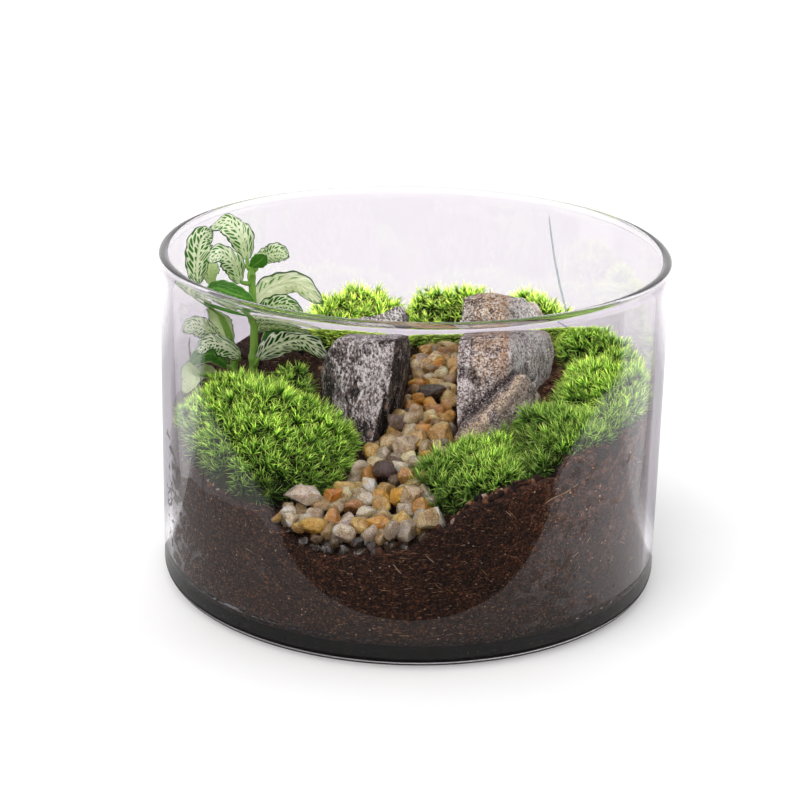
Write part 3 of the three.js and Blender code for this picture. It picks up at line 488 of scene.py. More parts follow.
def moss_material(name, tips, mids, deep_shade):
    m, nt, out = new_material(name)
    n = Net(nt)
    a = n.split(n.attribute("Col"))
    along, tuft, needle = a[0], a[1], a[2]
    # along each needle: painted shade at its base and on the low needles of a tuft, paler to the tip, which is partly a
    # painted highlight
    c = n.ramp(along, [(0.0, deep_shade), (0.3, tuple(x * 0.13 for x in mids)), (0.52, tuple(x * 0.62 for x in mids)), (0.8, tips), (1.0, tuple(min(1, x * 1.35 + 0.12) for x in tips))])
    # tuft: painted light on high, upward-facing tufts and painted shade on low ones, with random tone
    c = n.mix(1.0, c, n.ramp(tuft, [(0.0, (0.14, 0.2, 0.12)), (0.25, (0.5, 0.58, 0.42)), (0.55, (0.95, 1.0, 0.9)), (1.0, (1.5, 1.38, 1.25))]), "MULTIPLY")
    # needle: random tone; the palest needles are partly painted highlight streaks
    c = n.mix(1.0, c, n.ramp(needle, [(0.0, (0.24, 0.34, 0.2)), (0.36, (0.68, 0.76, 0.6)), (0.7, (1.25, 1.2, 1.15)), (1.0, (2.3, 2.05, 2.6))]), "MULTIPLY")
    c = n.mix(n.range(needle, 0.9, 1.0, 0, 0.5), c, srgb(222, 232, 160))
    c = n.mix(n.range(needle, 0.06, 0.0, 0, 0.7), c, srgb(132, 104, 48))
    s = n.node("ShaderNodeBsdfPrincipled")
    n.link(c, s.inputs["Base Color"])
    s.inputs["Roughness"].default_value = 0.38
    s.inputs["Specular IOR Level"].default_value = 0.5
    s.inputs["Subsurface Weight"].default_value = 0.0
    t = n.node("ShaderNodeBsdfTranslucent")
    bright = n.mix(1.0, c, (1.2, 1.25, 0.75), "MULTIPLY")
    n.link(bright, t.inputs["Color"])
    mixer = n.node("ShaderNodeMixShader")
    mixer.inputs[0].default_value = 0.25
    n.link(s.outputs[0], mixer.inputs[1])
    n.link(t.outputs[0], mixer.inputs[2])
    n.link(mixer.outputs[0], out.inputs["Surface"])
    return m


def moss_base_material():
    # very dark green: partly the moss's own colour, partly painted shade under the needles
    m, nt, out = new_material("moss_underlayer")
    n = Net(nt)
    v = n.coords(1000.0)
    f = n.noise(v, 1.2, 5, 0.7)
    c = n.ramp(f, [(0.3, srgb(14, 18, 5)), (0.55, srgb(34, 44, 12)), (0.75, srgb(58, 62, 24))])
    n.principled(out, Base_Color=c, Roughness=0.95, Specular_IOR_Level=0.2, Normal=n.bump(f, 0.8, 0.0006))
    return m


def pebble_material(name, clear=0.25):
    m, nt, out = new_material(name)
    n = Net(nt)
    base = n.attribute("Col")
    v = n.coords(1000.0)
    cloud = n.noise(v, 0.32, 5, 0.65, 0.9)
    vein = n.noise(v, 0.6, 4, 0.7, 1.6)
    fine = n.noise(v, 2.4, 4, 0.7)
    warp = n.node("ShaderNodeVectorMath", operation="MULTIPLY_ADD")
    n.link(n.noise(v, 0.5, 3, 0.6, out="Color"), warp.inputs[0])
    warp.inputs[1].default_value = (2.4, 2.4, 2.4)
    n.link(v, warp.inputs[2])
    crack = n.voronoi(warp.outputs[0], 0.3, "DISTANCE_TO_EDGE")
    c = n.mix(1.0, base, n.ramp(cloud, [(0.32, (0.55, 0.43, 0.28)), (0.45, (0.9, 0.84, 0.72)), (0.55, (1.08, 1.05, 1.0)), (0.68, (1.4, 1.42, 1.45))]), "MULTIPLY")
    c = n.mix(n.range(vein, 0.57, 0.68, 0, 0.5), c, srgb(160, 104, 46) if clear else srgb(110, 84, 64))
    c = n.mix(n.range(vein, 0.42, 0.34, 0, 0.45), c, srgb(236, 230, 216) if clear else srgb(110, 96, 88))
    c = n.mix(n.range(crack, 0.05, 0.0, 0, 0.2), c, srgb(124, 88, 50))
    c = n.mix(n.math("MULTIPLY", n.range(fine, 0.64, 0.76), 0.6), c, srgb(66, 44, 28))
    h = n.math("ADD", n.math("MULTIPLY", cloud, 0.7), n.math("ADD", n.math("MULTIPLY", fine, 0.4), n.range(crack, 0.0, 0.06, 0.0, 0.4)))
    s = n.principled(out, Base_Color=c, Roughness=n.range(fine, 0.3, 0.7, 0.08, 0.34), Specular_IOR_Level=0.6, Normal=n.bump(h, 0.7, 0.0007))
    if clear:
        s.inputs["Transmission Weight"].default_value = clear
        s.inputs["IOR"].default_value = 1.5
        s.inputs["Subsurface Weight"].default_value = 0.8
        s.inputs["Subsurface Scale"].default_value = 0.0022
        s.inputs["Subsurface Radius"].default_value = (1.0, 0.8, 0.5)
        s.inputs["Coat Weight"].default_value = 0.35
        s.inputs["Coat Roughness"].default_value = 0.12
    return m


def leaf_material(name, vein_width, islands, green_a, green_b, cream_a, cream_b, rim_width=0.1, rows=13.0, back=False, outline=(0.02, 0.1, 0.012)):
    """Plan UVs: u from -1 (one margin) over 0 (midrib) to 1, v from 0 (stalk) to 1 (tip)."""
    m, nt, out = new_material(name)
    n = Net(nt)
    uvn = n.node("ShaderNodeUVMap", uv_map="Plan")
    p = n.xyz(uvn.outputs[0])
    u, v = p[0], p[1]
    au = n.math("ABSOLUTE", u)
    obj = n.coords(1000.0)
    wob = n.noise(obj, 0.45, 2, 0.5)
    shear = n.math("SUBTRACT", v, n.math("MULTIPLY", n.math("POWER", au, 1.15), 0.23))
    shear = n.math("ADD", shear, n.math("MULTIPLY", n.math("SUBTRACT", wob, 0.5), 0.05))
    # net of veins: its meshes lie in rows along the side veins
    across = n.math("MULTIPLY", n.math("ADD", au, n.math("MULTIPLY", wob, 0.12)), 2.05)
    cell = n.combine(n.math("MULTIPLY_ADD", n.math("SIGN", u), 40.0, across), n.math("MULTIPLY", shear, rows), 0.0)
    edge = n.voronoi(cell, 1.0, "DISTANCE_TO_EDGE", randomness=0.72, dims="2D")
    hue = n.split(n.voronoi(cell, 1.0, "F1", "Color", randomness=0.72, dims="2D"))
    width = n.math("MULTIPLY_ADD", n.math("SUBTRACT", 1.0, au), vein_width * 0.5, vein_width)
    net = n.range(n.math("SUBTRACT", edge, width), 0.055, -0.02)
    gone = n.math("GREATER_THAN", hue[0], islands)
    net = n.math("MAXIMUM", net, n.math("MULTIPLY", gone, n.range(au, 0.9, 0.7, 0.0, 0.9)))
    mid = n.range(n.math("SUBTRACT", au, n.math("MULTIPLY", n.math("SUBTRACT", 1.0, v), 0.05)), 0.12, 0.05)
    vein = n.math("MAXIMUM", mid, net)
    rim = n.range(n.math("ADD", au, n.math("MULTIPLY", n.math("SUBTRACT", wob, 0.5), 0.12)), 1.0 - rim_width - 0.03, 1.0 - rim_width + 0.02)
    tip = n.range(v, 0.94, 0.98)
    vein = n.math("MULTIPLY", vein, n.math("SUBTRACT", 1.0, n.math("MAXIMUM", rim, tip)))
    tone = n.noise(obj, 0.35, 3, 0.6)
    green = n.mix(tone, green_a, green_b)
    green = n.mix(n.math("MULTIPLY", rim, 0.6), green, srgb(34, 84, 20))
    cream = n.mix(tone, cream_a, cream_b)
    c = n.mix(vein, green, cream)
    c = n.mix(n.range(au, 0.9, 0.96, 0.0, 0.9), c, outline)
    height = n.math("SUBTRACT", n.range(edge, 0.0, 0.35), n.math("MULTIPLY", mid, 0.6))
    nor = n.bump(height, 0.55, 0.0005)
    s = n.node("ShaderNodeBsdfPrincipled")
    n.link(c, s.inputs["Base Color"])
    n.link(nor, s.inputs["Normal"])
    s.inputs["Roughness"].default_value = 0.42 if not back else 0.6
    s.inputs["Specular IOR Level"].default_value = 0.45
    t = n.node("ShaderNodeBsdfTranslucent")
    n.link(n.mix(1.0, c, (1.08, 1.14, 0.92), "MULTIPLY"), t.inputs["Color"])
    mixer = n.node("ShaderNodeMixShader")
    mixer.inputs[0].default_value = 0.45
    n.link(s.outputs[0], mixer.inputs[1])
    n.link(t.outputs[0], mixer.inputs[2])
    n.link(mixer.outputs[0], out.inputs["Surface"])
    return m


def stem_material():
    m, nt, out = new_material("green_stem")
    n = Net(nt)
    v = n.coords(1000.0)
    f = n.noise(v, 0.5, 4, 0.6)
    streak = n.node("ShaderNodeMapping")
    streak.inputs["Scale"].default_value = (3.0, 3.0, 0.35)
    n.link(v, streak.inputs["Vector"])
    g = n.noise(streak.outputs[0], 1.0, 3, 0.6)
    c = n.mix(g, srgb(76, 128, 34), srgb(150, 192, 84))
    c = n.mix(n.range(f, 0.62, 0.75, 0, 0.5), c, srgb(96, 70, 40))
    s = n.principled(out, Base_Color=c, Roughness=0.42, Specular_IOR_Level=0.45, Normal=n.bump(g, 0.4, 0.0003))
    s.inputs["Subsurface Weight"].default_value = 0.2
    s.inputs["Subsurface Scale"].default_value = 0.001
    return m


def attribute_material(name, roughness=0.8, bump=0.4, spec=0.4):
    m, nt, out = new_material(name)
    n = Net(nt)
    v = n.coords(1000.0)
    f = n.noise(v, 2.0, 4, 0.65)
    c = n.mix(1.0, n.attribute("Col"), n.ramp(f, [(0.3, (0.6, 0.58, 0.56)), (0.7, (1.25, 1.22, 1.2))]), "MULTIPLY")
    n.principled(out, Base_Color=c, Roughness=n.range(f, 0.3, 0.7, max(0.05, roughness - 0.12), min(1, roughness + 0.08)), Specular_IOR_Level=spec, Normal=n.bump(f, bump, 0.0004))
    return m


def floor_material():
    m, nt, out = new_material("studio_floor")
    n = Net(nt)
    v = n.coords(1.0)
    f = n.noise(v, 60.0, 3, 0.5)
    c = n.mix(f, (0.795, 0.795, 0.80), (0.805, 0.805, 0.81))
    n.principled(out, Base_Color=c, Roughness=0.6, Specular_IOR_Level=0.2)
    return m


M_GLASS = glass_material("clear_glass", (0.785, 0.75, 0.795))
M_BEAD = glass_material("clear_glass_bead", (0.9, 0.88, 0.905))
# the foot's dark tint is painted shade
M_FOOT_PAINTED_DARK = glass_material("glass_foot_painted_dark", (0.16, 0.15, 0.158))
M_SEAM = seam_material()
M_SOIL = soil_material()
M_DARK = dark_stone_material()
M_BROWN = brown_stone_material()
M_FLAKE = flake_material()
M_MOSS_F = moss_material("green_moss", srgb(214, 252, 116), srgb(124, 206, 44), srgb(7, 22, 2))
# a paler copy of the moss for the back cushions: painted light
M_MOSS_PAINTED_LIGHTER = moss_material("green_moss_painted_lighter", srgb(238, 255, 142), srgb(176, 246, 76), srgb(14, 38, 5))
M_MOSS_BASE = moss_base_material()
M_PEB = pebble_material("quartz_pebbles", 0.42)
M_PEB_DARK = pebble_material("dark_pebbles", 0.0)
M_LEAF = leaf_material("leaf_face", 0.11, 1.1, srgb(32, 98, 16), srgb(84, 150, 38), srgb(252, 254, 228), srgb(255, 255, 244), 0.05)
M_LEAF_P = leaf_material("leaf_face_pale", 0.15, 0.9, srgb(46, 112, 22), srgb(96, 160, 48), srgb(253, 255, 230), srgb(255, 255, 244), 0.05)
M_LEAF_D = leaf_material("leaf_face_dark", 0.02, 1.1, srgb(44, 112, 20), srgb(86, 152, 42), srgb(110, 172, 66), srgb(140, 190, 88), 0.02, outline=srgb(226, 240, 196))
M_LEAF_S = leaf_material("leaf_face_sage", 0.26, 0.42, srgb(104, 152, 64), srgb(140, 182, 92), srgb(226, 240, 190), srgb(242, 250, 214), 0.05)
M_LEAF_B = leaf_material("leaf_back", 0.2, 0.5, srgb(124, 166, 84), srgb(150, 188, 104), srgb(196, 220, 150), srgb(214, 232, 172), 0.05, back=True, outline=srgb(70, 120, 44))
M_LEAF_R = leaf_material("leaf_face_flecked", 0.24, 0.66, srgb(104, 156, 56), srgb(150, 196, 96), srgb(255, 255, 238), srgb(255, 255, 250), 0.05, outline=srgb(38, 84, 24))
M_LEAF_W = leaf_material("leaf_face_netted", 0.13, 1.25, srgb(14, 66, 6), srgb(34, 100, 16), srgb(254, 255, 238), srgb(255, 255, 248), 0.05)
M_STEM = stem_material()
M_CHIP = attribute_material("crumbs_and_fibres", 0.9, 0.6, 0.25)


# ================================================================== CAMERA, FLOOR, LIGHT
cam_data = bpy.data.cameras.new("camera")
cam_data.lens = 95.75
cam_data.sensor_width = 36
cam_data.clip_start = 0.01
cam_data.clip_end = 50
camera = bpy.data.objects.new("camera", cam_data)
bpy.context.scene.collection.objects.link(camera)
c_right, c_up, c_fwd = Vector((0.9997, 0.01327, 0.02056)), Vector((-0.02382, 0.33628, 0.94146)), Vector((-0.00558, 0.94167, -0.33649))
cm = Matrix.Identity(4)
for i in range(3):
    cm[i][0], cm[i][1], cm[i][2] = c_right[i], c_up[i], -c_fwd[i]
cm[0][3], cm[1][3], cm[2][3] = 0.0, -0.60411, 0.26891
camera.matrix_world = cm
bpy.context.scene.camera = camera

bpy.context.scene.view_settings.view_transform = "Standard"
bpy.context.scene.view_settings.look = "None"
world = bpy.data.worlds.new("studio")
bpy.context.scene.world = world
world.use_nodes = True
world.node_tree.nodes["Background"].inputs[0].default_value = (1.0, 0.995, 1.0, 1)
world.node_tree.nodes["Background"].inputs[1].default_value = 0.5

floor = make_mesh("floor", [[-4000, -4000, -0.15], [4000, -4000, -0.15], [4000, 4000, -0.15], [-4000, 4000, -0.15]], np.array([[0, 1, 2, 3]]), materials=[floor_material()])


def sun(name, direction, strength, softness, colour=(1, 1, 1)):
    """A big far softbox: even over the whole table."""
    d = bpy.data.lights.new(name, "SUN")
    d.energy = strength
    d.angle = math.radians(softness)
    d.color = colour
    o = bpy.data.objects.new(name, d)
    o.location = Vector(direction)
    o.rotation_euler = (-Vector(direction)).to_track_quat("-Z", "Y").to_euler()
    bpy.context.scene.collection.objects.link(o)
    return o


sun("key", (-0.45, -0.6, 1.0), 2.15, 55, (1.0, 0.985, 0.965))
sun("top_back", (0.1, 0.5, 1.0), 0.6, 50)
sun("front", (0.2, -1.0, 0.7), 0.55, 50)


def softbox(name, at, aim, size, radiance):
    """A big white panel beside the table; its light is even over its face."""
    d = bpy.data.lights.new(name, "AREA")
    d.shape = "RECTANGLE"
    d.size, d.size_y = size
    d.energy = radiance * math.pi * size[0] * size[1]
    o = bpy.data.objects.new(name, d)
    o.location = Vector(at)
    o.rotation_euler = (Vector(aim) - Vector(at)).to_track_quat("-Z", "Z").to_euler()
    o.visible_camera = False
    bpy.context.scene.collection.objects.link(o)


softbox("panel_left", (-1.3, 0.1, 0.5), (0, 0.1, 0.3), (2.2, 1.1), 0.7)
softbox("panel_right", (1.3, 0.1, 0.5), (0, 0.1, 0.3), (2.2, 1.1), 1.0)
softbox("panel_back", (0.0, 1.5, 0.6), (0, 0.0, 0.3), (2.6, 1.1), 0.75)
cycles = bpy.context.scene.cycles
cycles.max_bounces = 64
cycles.glossy_bounces = 48
cycles.transmission_bounces = 48
cycles.transparent_max_bounces = 24

# Cards that only glass sees, as painted reflections: a grey card for the table round the bowl, darker towards the left,
# and a dark one past its edges.
TABLE = np.array([[300, 109], [287, 40], [275, 10], [258, -45], [214, -85], [176, -107], [0, -107], [-137, -108], [-177, -84], [-213, -48], [-240, 6], [-252, 60], [-262, 96]], float)


def table_edge(a):
    """How far the table reaches in direction a."""
    d = np.array([math.cos(a), math.sin(a)])
    best = 300.0
    for p, q in zip(TABLE[:-1], TABLE[1:]):
        e = q - p
        det = d[0] * -e[1] + d[1] * e[0]
        if abs(det) < 1e-9:
            continue
        t = (p[0] * -e[1] + p[1] * e[0]) / det
        k = (d[0] * p[1] - d[1] * p[0]) / det
        if t > 0 and -0.02 <= k <= 1.02:
            best = min(best, t)
    return best


def reflect_card(name, verts, faces, material):
    ob = make_mesh(name, verts, faces, materials=[material])
    ob.visible_camera = False
    ob.visible_diffuse = False
    ob.visible_shadow = False
    ob.visible_volume_scatter = False
    return ob


def cards():
    def only_reflected(n, colour, out):
        """The card is in the reflections of the glass; straight through the glass one sees the pale floor."""
        body = n.node("ShaderNodeBsdfPrincipled")
        if isinstance(colour, tuple):
            body.inputs["Base Color"].default_value = (*colour, 1)
        else:
            n.link(colour, body.inputs["Base Color"])
        body.inputs["Roughness"].default_value = 1.0
        body.inputs["Specular IOR Level"].default_value = 0.0
        clear = n.node("ShaderNodeBsdfTransparent")
        pick = n.node("ShaderNodeMixShader")
        path = n.node("ShaderNodeLightPath")
        n.link(n.math("GREATER_THAN", path.outputs["Glossy Depth"], 0.5), pick.inputs[0])
        n.link(clear.outputs[0], pick.inputs[1])
        n.link(body.outputs[0], pick.inputs[2])
        n.link(pick.outputs[0], out.inputs["Surface"])

    m, nt, out = new_material("black_card")
    only_reflected(Net(nt), (0.006, 0.006, 0.007), out)
    g, gnt, gout = new_material("grey_card")
    n = Net(gnt)
    x = n.xyz(n.coords(1000.0))[0]
    # darker towards the left, where less light falls on the table: painted shade in the reflections
    c = n.ramp(n.range(x, -200.0, 240.0), [(0.0, (0.34, 0.34, 0.345)), (0.42, (0.4, 0.4, 0.4)), (0.6, (0.44, 0.435, 0.43)), (0.78, (0.6, 0.585, 0.585)), (1.0, (0.64, 0.63, 0.63))])
    only_reflected(n, c, gout)
    w, wnt, wout = new_material("wing_card")
    n = Net(wnt)
    y = n.xyz(n.coords(1000.0))[1]
    body = n.node("ShaderNodeBsdfPrincipled")
    body.inputs["Base Color"].default_value = (0.36, 0.353, 0.37, 1)
    body.inputs["Roughness"].default_value = 1.0
    body.inputs["Specular IOR Level"].default_value = 0.0
    clear = n.node("ShaderNodeBsdfTransparent")
    fade = n.node("ShaderNodeMixShader")
    n.link(n.math("MULTIPLY", n.range(y, 16.0, 40.0, 0.0, 0.9), n.range(y, 245.0, 170.0)), fade.inputs[0])
    n.link(clear.outputs[0], fade.inputs[1])
    n.link(body.outputs[0], fade.inputs[2])
    n.link(fade.outputs[0], wout.inputs["Surface"])
    a = np.radians(np.linspace(-186, 6, 193))
    edge = np.array([table_edge(v) for v in a])
    near = []
    for k in np.linspace(0, 1, 5):
        r = 76.8 + (edge - 76.8) * k
        near.append(np.stack([r * np.cos(a), r * np.sin(a), np.full(len(a), 0.3)], -1))
    reflect_card("grey_card", np.array(near).reshape(-1, 3), grid_faces(5, len(a)), g)
    far = [np.stack([r * np.cos(a), r * np.sin(a), np.full(len(a), 0.3)], -1) for r in (edge, np.full(len(a), 1600.0))]
    reflect_card("black_card", np.array(far).reshape(-1, 3), grid_faces(2, len(a)), m)
    # the dark under the foot, seen only in and through the glass: painted shade
    d, dnt, dout = new_material("foot_card")
    Net(dnt).principled(dout, Base_Color=(0.1, 0.095, 0.096), Roughness=1.0, Specular_IOR_Level=0.0)
    turns = np.linspace(0, 2 * math.pi, 181)
    under = [np.stack([r * np.cos(turns), r * np.sin(turns), np.full(len(turns), -0.07)], -1) for r in (1.0, 77.5)]
    reflect_card("foot_card", np.array(under).reshape(-1, 3), grid_faces(2, len(turns)), d)
    # grey wing cards at the sides, seen only in and through the glass walls: painted reflections
    for side in (-1, 1):
        quad = np.array([[side * 76.6, 16, 0.45], [side * 104.2, 245, 0.45], [side * 320, 245, 0.45], [side * 130, 16, 0.45]], float)
        reflect_card("wing_card", quad, np.array([[0, 1, 2, 3]]), w)


cards()


# ================================================================== GLASS BOWL
def volume(verts, faces):
    total = 0.0
    for f in faces if isinstance(faces, list) else [faces]:
        f = np.asarray(f)
        for k in range(1, f.shape[1] - 1):
            a, b, c = verts[f[:, 0]], verts[f[:, k]], verts[f[:, k + 1]]
            total += np.einsum("ij,ij->i", a, np.cross(b, c)).sum() / 6
    return total


def lathe(profile, angles, radius_change=None):
    """A closed solid turned round Z from a profile that starts and ends on the axis."""
    inner = np.array(profile[1:-1], float)
    n = len(angles)
    r = np.repeat(inner[:, 0][:, None], n, 1)
    z = np.repeat(inner[:, 1][:, None], n, 1)
    if radius_change is not None:
        r = r + radius_change(r, z, angles[None, :])
    verts = np.stack([r * np.cos(angles), r * np.sin(angles), z], -1).reshape(-1, 3)
    verts = np.vstack([verts, [[0, 0, profile[0][1]], [0, 0, profile[-1][1]]]])
    quads = grid_faces(len(inner), n, wrap=True)
    k = len(inner) * n
    i = np.arange(n)
    cap0 = np.stack([np.full(n, k), (i + 1) % n, i], -1)
    base = (len(inner) - 1) * n
    cap1 = np.stack([np.full(n, k + 1), base + i, base + (i + 1) % n], -1)
    faces = [quads, cap0, cap1]
    if volume(verts, faces) < 0:
        faces = [f[:, ::-1] for f in faces]
    return verts, faces


def glass_bowl():
    p = [(0, 0), (20, 0), (50, 0), (68, 0), (70.5, 0)]

    def arc(cx, cz, r, a0, a1, n):
        for i in range(n + 1):
            a = math.radians(a0 + (a1 - a0) * i / n)
            p.append((cx + r * math.cos(a), cz + r * math.sin(a)))

    arc(BOWL_OUTER_R - FOOT_R, FOOT_R, FOOT_R, -90, 0, 12)
    p.append((BOWL_OUTER_R, FOOT_R + 0.5))
    for z in np.linspace(10, 95, 9):
        p.append((BOWL_OUTER_R, float(z)))
    bx, bz = BOWL_OUTER_R + 0.3 - BEAD_R, BOWL_HEIGHT - BEAD_R
    p.append((BOWL_OUTER_R, bz - 2.6))
    arc(bx, bz, BEAD_R, -20, 200, 26)
    p.append((INNER_R, bz - 2.6))
    for z in np.linspace(95, 11, 9):
        p.append((INNER_R, float(z)))
    arc(INNER_R - INNER_CORNER_R, FLOOR + INNER_CORNER_R, INNER_CORNER_R, 0, -90, 12)
    p += [(66, FLOOR), (40, FLOOR), (15, FLOOR), (0, FLOOR)]
    seam_z = [40, 58, 66.2, 74, 81.9, 90.8, 99.5]
    seam_a = np.radians([38.5, 44.6, 47.35, 49.66, 51.58, 53.2, 54.47])
    angles = np.unique(np.concatenate([np.linspace(0, 2 * math.pi, 256, endpoint=False), np.linspace(seam_a[1], seam_a[-1] + 0.02, 110)]))

    def change(r, z, a):
        """A slight waviness of blown glass, and a fine seam down the inside at the back."""
        wave = 0.05 * np.sin(2 * a + 0.4) + 0.035 * np.sin(5 * a + z * 0.03) + 0.02 * np.sin(9 * a + 1.0 - z * 0.05)
        inside = (r < INNER_R + 0.05) & (r > INNER_R - 0.05) & (z > 40)
        d = (a - np.interp(z, seam_z, seam_a)) * INNER_R
        return np.where((r > 60) & (z > 8), wave * 0.7, 0) - np.where(inside, 0.1 * np.exp(-((d / 0.45) ** 2)), 0)

    v, f = lathe(p, angles, change)
    ob = make_mesh("bowl_of_glass", v, f, materials=[M_GLASS, M_BEAD, M_FOOT_PAINTED_DARK])
    # the fire-polished bead is tinted clearer than the wall, which brightens the highlight along it: a painted
    # highlight
    high = np.concatenate([v[q][..., 2].min(1) for q in f]) > bz - 2.0
    # and the lowest 3.6 mm of the foot is tinted dark, which the real glass is not: painted shade
    low = np.concatenate([v[q][..., 2].max(1) for q in f]) < 3.6
    ob.data.polygons.foreach_set("material_index", high.astype(np.int32) + 2 * low.astype(np.int32))
    place(ob, "clear_glass", "glass_bowl")
    # the cold seam, a bluish hair line in the back wall
    m = 60
    z = np.linspace(97.0, 58.0, m)
    a = np.interp(z, seam_z, seam_a)
    w = (0.26 + 0.3 * np.linspace(0, 1, m) ** 0.7) / INNER_R
    w[:6] *= np.linspace(0.1, 1, 6)
    rows = []
    for da, r in ((-w, INNER_R - 0.12), (0 * w, INNER_R - 0.16), (w, INNER_R - 0.12), (0 * w, INNER_R - 0.08)):
        rows.append(np.stack([r * np.cos(a + da), r * np.sin(a + da), z], -1))
    v = np.array(rows).transpose(1, 0, 2).reshape(-1, 3)
    f = [grid_faces(m, 4, wrap=True), np.array([[0, 1, 2, 3]]), np.array([[3, 2, 1, 0]]) + (m - 1) * 4]
    if volume(v, f) < 0:
        f = [q[:, ::-1] for q in f]
    ob = make_mesh("glass_seam", v, f, materials=[M_SEAM])
    place(ob, "clear_glass")


# ================================================================== SOIL
def soil_top(x, y):
    """Height of the finished soil: the lie of the land with clods and crumbs."""
    z = soil_z(x, y)
    flat = np.stack([x.ravel(), y.ravel(), np.zeros(x.size)], -1)
    clods = fbm(flat / 6.5 + 5.1, 3).reshape(x.shape)
    crumbs = fbm(flat / 2.0 + 2.7, 3).reshape(x.shape)
    rough = 0.6 + 0.6 * np.clip((x + y * 0.4) / 50, -0.6, 1.2)
    return z + rough * (1.0 * clods + 0.7 * np.abs(crumbs) - 0.2)


def soil_body():
    n = 480
    a = np.linspace(0, 2 * math.pi, n, endpoint=False)
    radii = np.concatenate([np.linspace(0.9, 60, 46), np.linspace(60.7, 72.2, 18)])
    R, A = np.meshgrid(radii, a, indexing="ij")
    X, Y = R * np.cos(A), R * np.sin(A)
    Z = soil_top(X, Y)
    Z[-1] -= 0.25
    edge = Z[-1]
    rows = [np.stack([X, Y, Z], -1)]
    # the side: wet soil lies against the glass itself, dry soil leaves a film of air
    levels = 48
    side = []
    for k in range(1, levels + 1):
        t = k / levels
        z = edge + (10.4 - edge) * t
        side.append(np.stack([72.0 * np.cos(a), 72.0 * np.sin(a), z], -1))
    side = np.array(side)
    flat = side.reshape(-1, 3)
    big = fbm(flat / 9.0, 3).reshape(side.shape[:2])
    mid = fbm(flat / 2.6 + 3, 3).reshape(side.shape[:2])
    fine = fbm(flat / 1.0 + 9, 2).reshape(side.shape[:2])
    turn = np.degrees(np.arctan2(np.cos(a), -np.sin(a)))  # 0 in front, 90 at the right
    dry = np.interp(turn, [-180, -100, -84, -74, -58, 14, 34, 50, 75, 100, 180], [2.5, 2.5, 1.0, 0.4, -0.75, -0.75, -0.1, 0.55, 0.9, 2.5, 2.5])[None, :]
    wet = 1 / (1 + np.exp(-(-dry + 0.55 * big + 0.75 * mid + 0.5 * fine) * 7))
    hollow = np.clip(mid - 0.45, 0, 1) * 0.9 * np.clip((side[..., 2] - edge[None, :] + 9) / 9, 0, 1)
    r = 72.12 + 0.44 * wet - 0.05 * np.abs(fine) - hollow
    side[..., 0] = r * np.cos(a)
    side[..., 1] = r * np.sin(a)
    rows.append(side)
    # the foot: a thin, broken film of air at the top of the corner, and soil flat on the bottom
    foot = []
    air = np.interp(turn, [-180, -100, -70, -45, -15, 20, 50, 90, 180], [0.3, 0.4, 0.35, 0.05, -0.3, -0.35, -0.1, 0.3, 0.3])
    for deg, share in ((-10, 1.0), (-20, 1.0), (-32, 0.8), (-44, 0.3), (-57, 0.0), (-70, 0.0), (-82, 0.0)):
        ce, se = math.cos(math.radians(deg)), math.sin(math.radians(deg))
        ring = np.stack([(INNER_R - 4 + 4 * ce) * np.cos(a), (INNER_R - 4 + 4 * ce) * np.sin(a), np.full(n, FLOOR + 4 + 4 * se)], -1)
        gap = 0.34 * share / (1 + np.exp(-(air + 0.9 * fbm(ring / 1.3 + 31, 2)) * 7))
        rr = 4.14 - gap
        foot.append(np.stack([(INNER_R - 4 + rr * ce) * np.cos(a), (INNER_R - 4 + rr * ce) * np.sin(a), FLOOR + 4 + rr * se], -1))
    for rr in (66.0, 60.0, 30.0):
        foot.append(np.stack([rr * np.cos(a), rr * np.sin(a), np.full(n, FLOOR - 0.1)], -1))
    rows.append(np.array(foot))
    grid = np.concatenate(rows, 0)
    m = grid.shape[0]
    verts = grid.reshape(-1, 3)
    quads = grid_faces(m, n, wrap=True)
    k = m * n
    verts = np.vstack([verts, [[0, 0, float(soil_top(np.array([0.0]), np.array([0.0]))[0])], [0, 0, 5.9]]])
    i = np.arange(n)
    faces = [quads, np.stack([np.full(n, k), (i + 1) % n, i], -1), np.stack([np.full(n, k + 1), (m - 1) * n + i, (m - 1) * n + (i + 1) % n], -1)]
    if volume(verts, faces) < 0:
        faces = [f[:, ::-1] for f in faces]
    ob = make_mesh("soil_body", verts, faces, materials=[M_SOIL])
    return place(ob, "potting_soil", "soil")


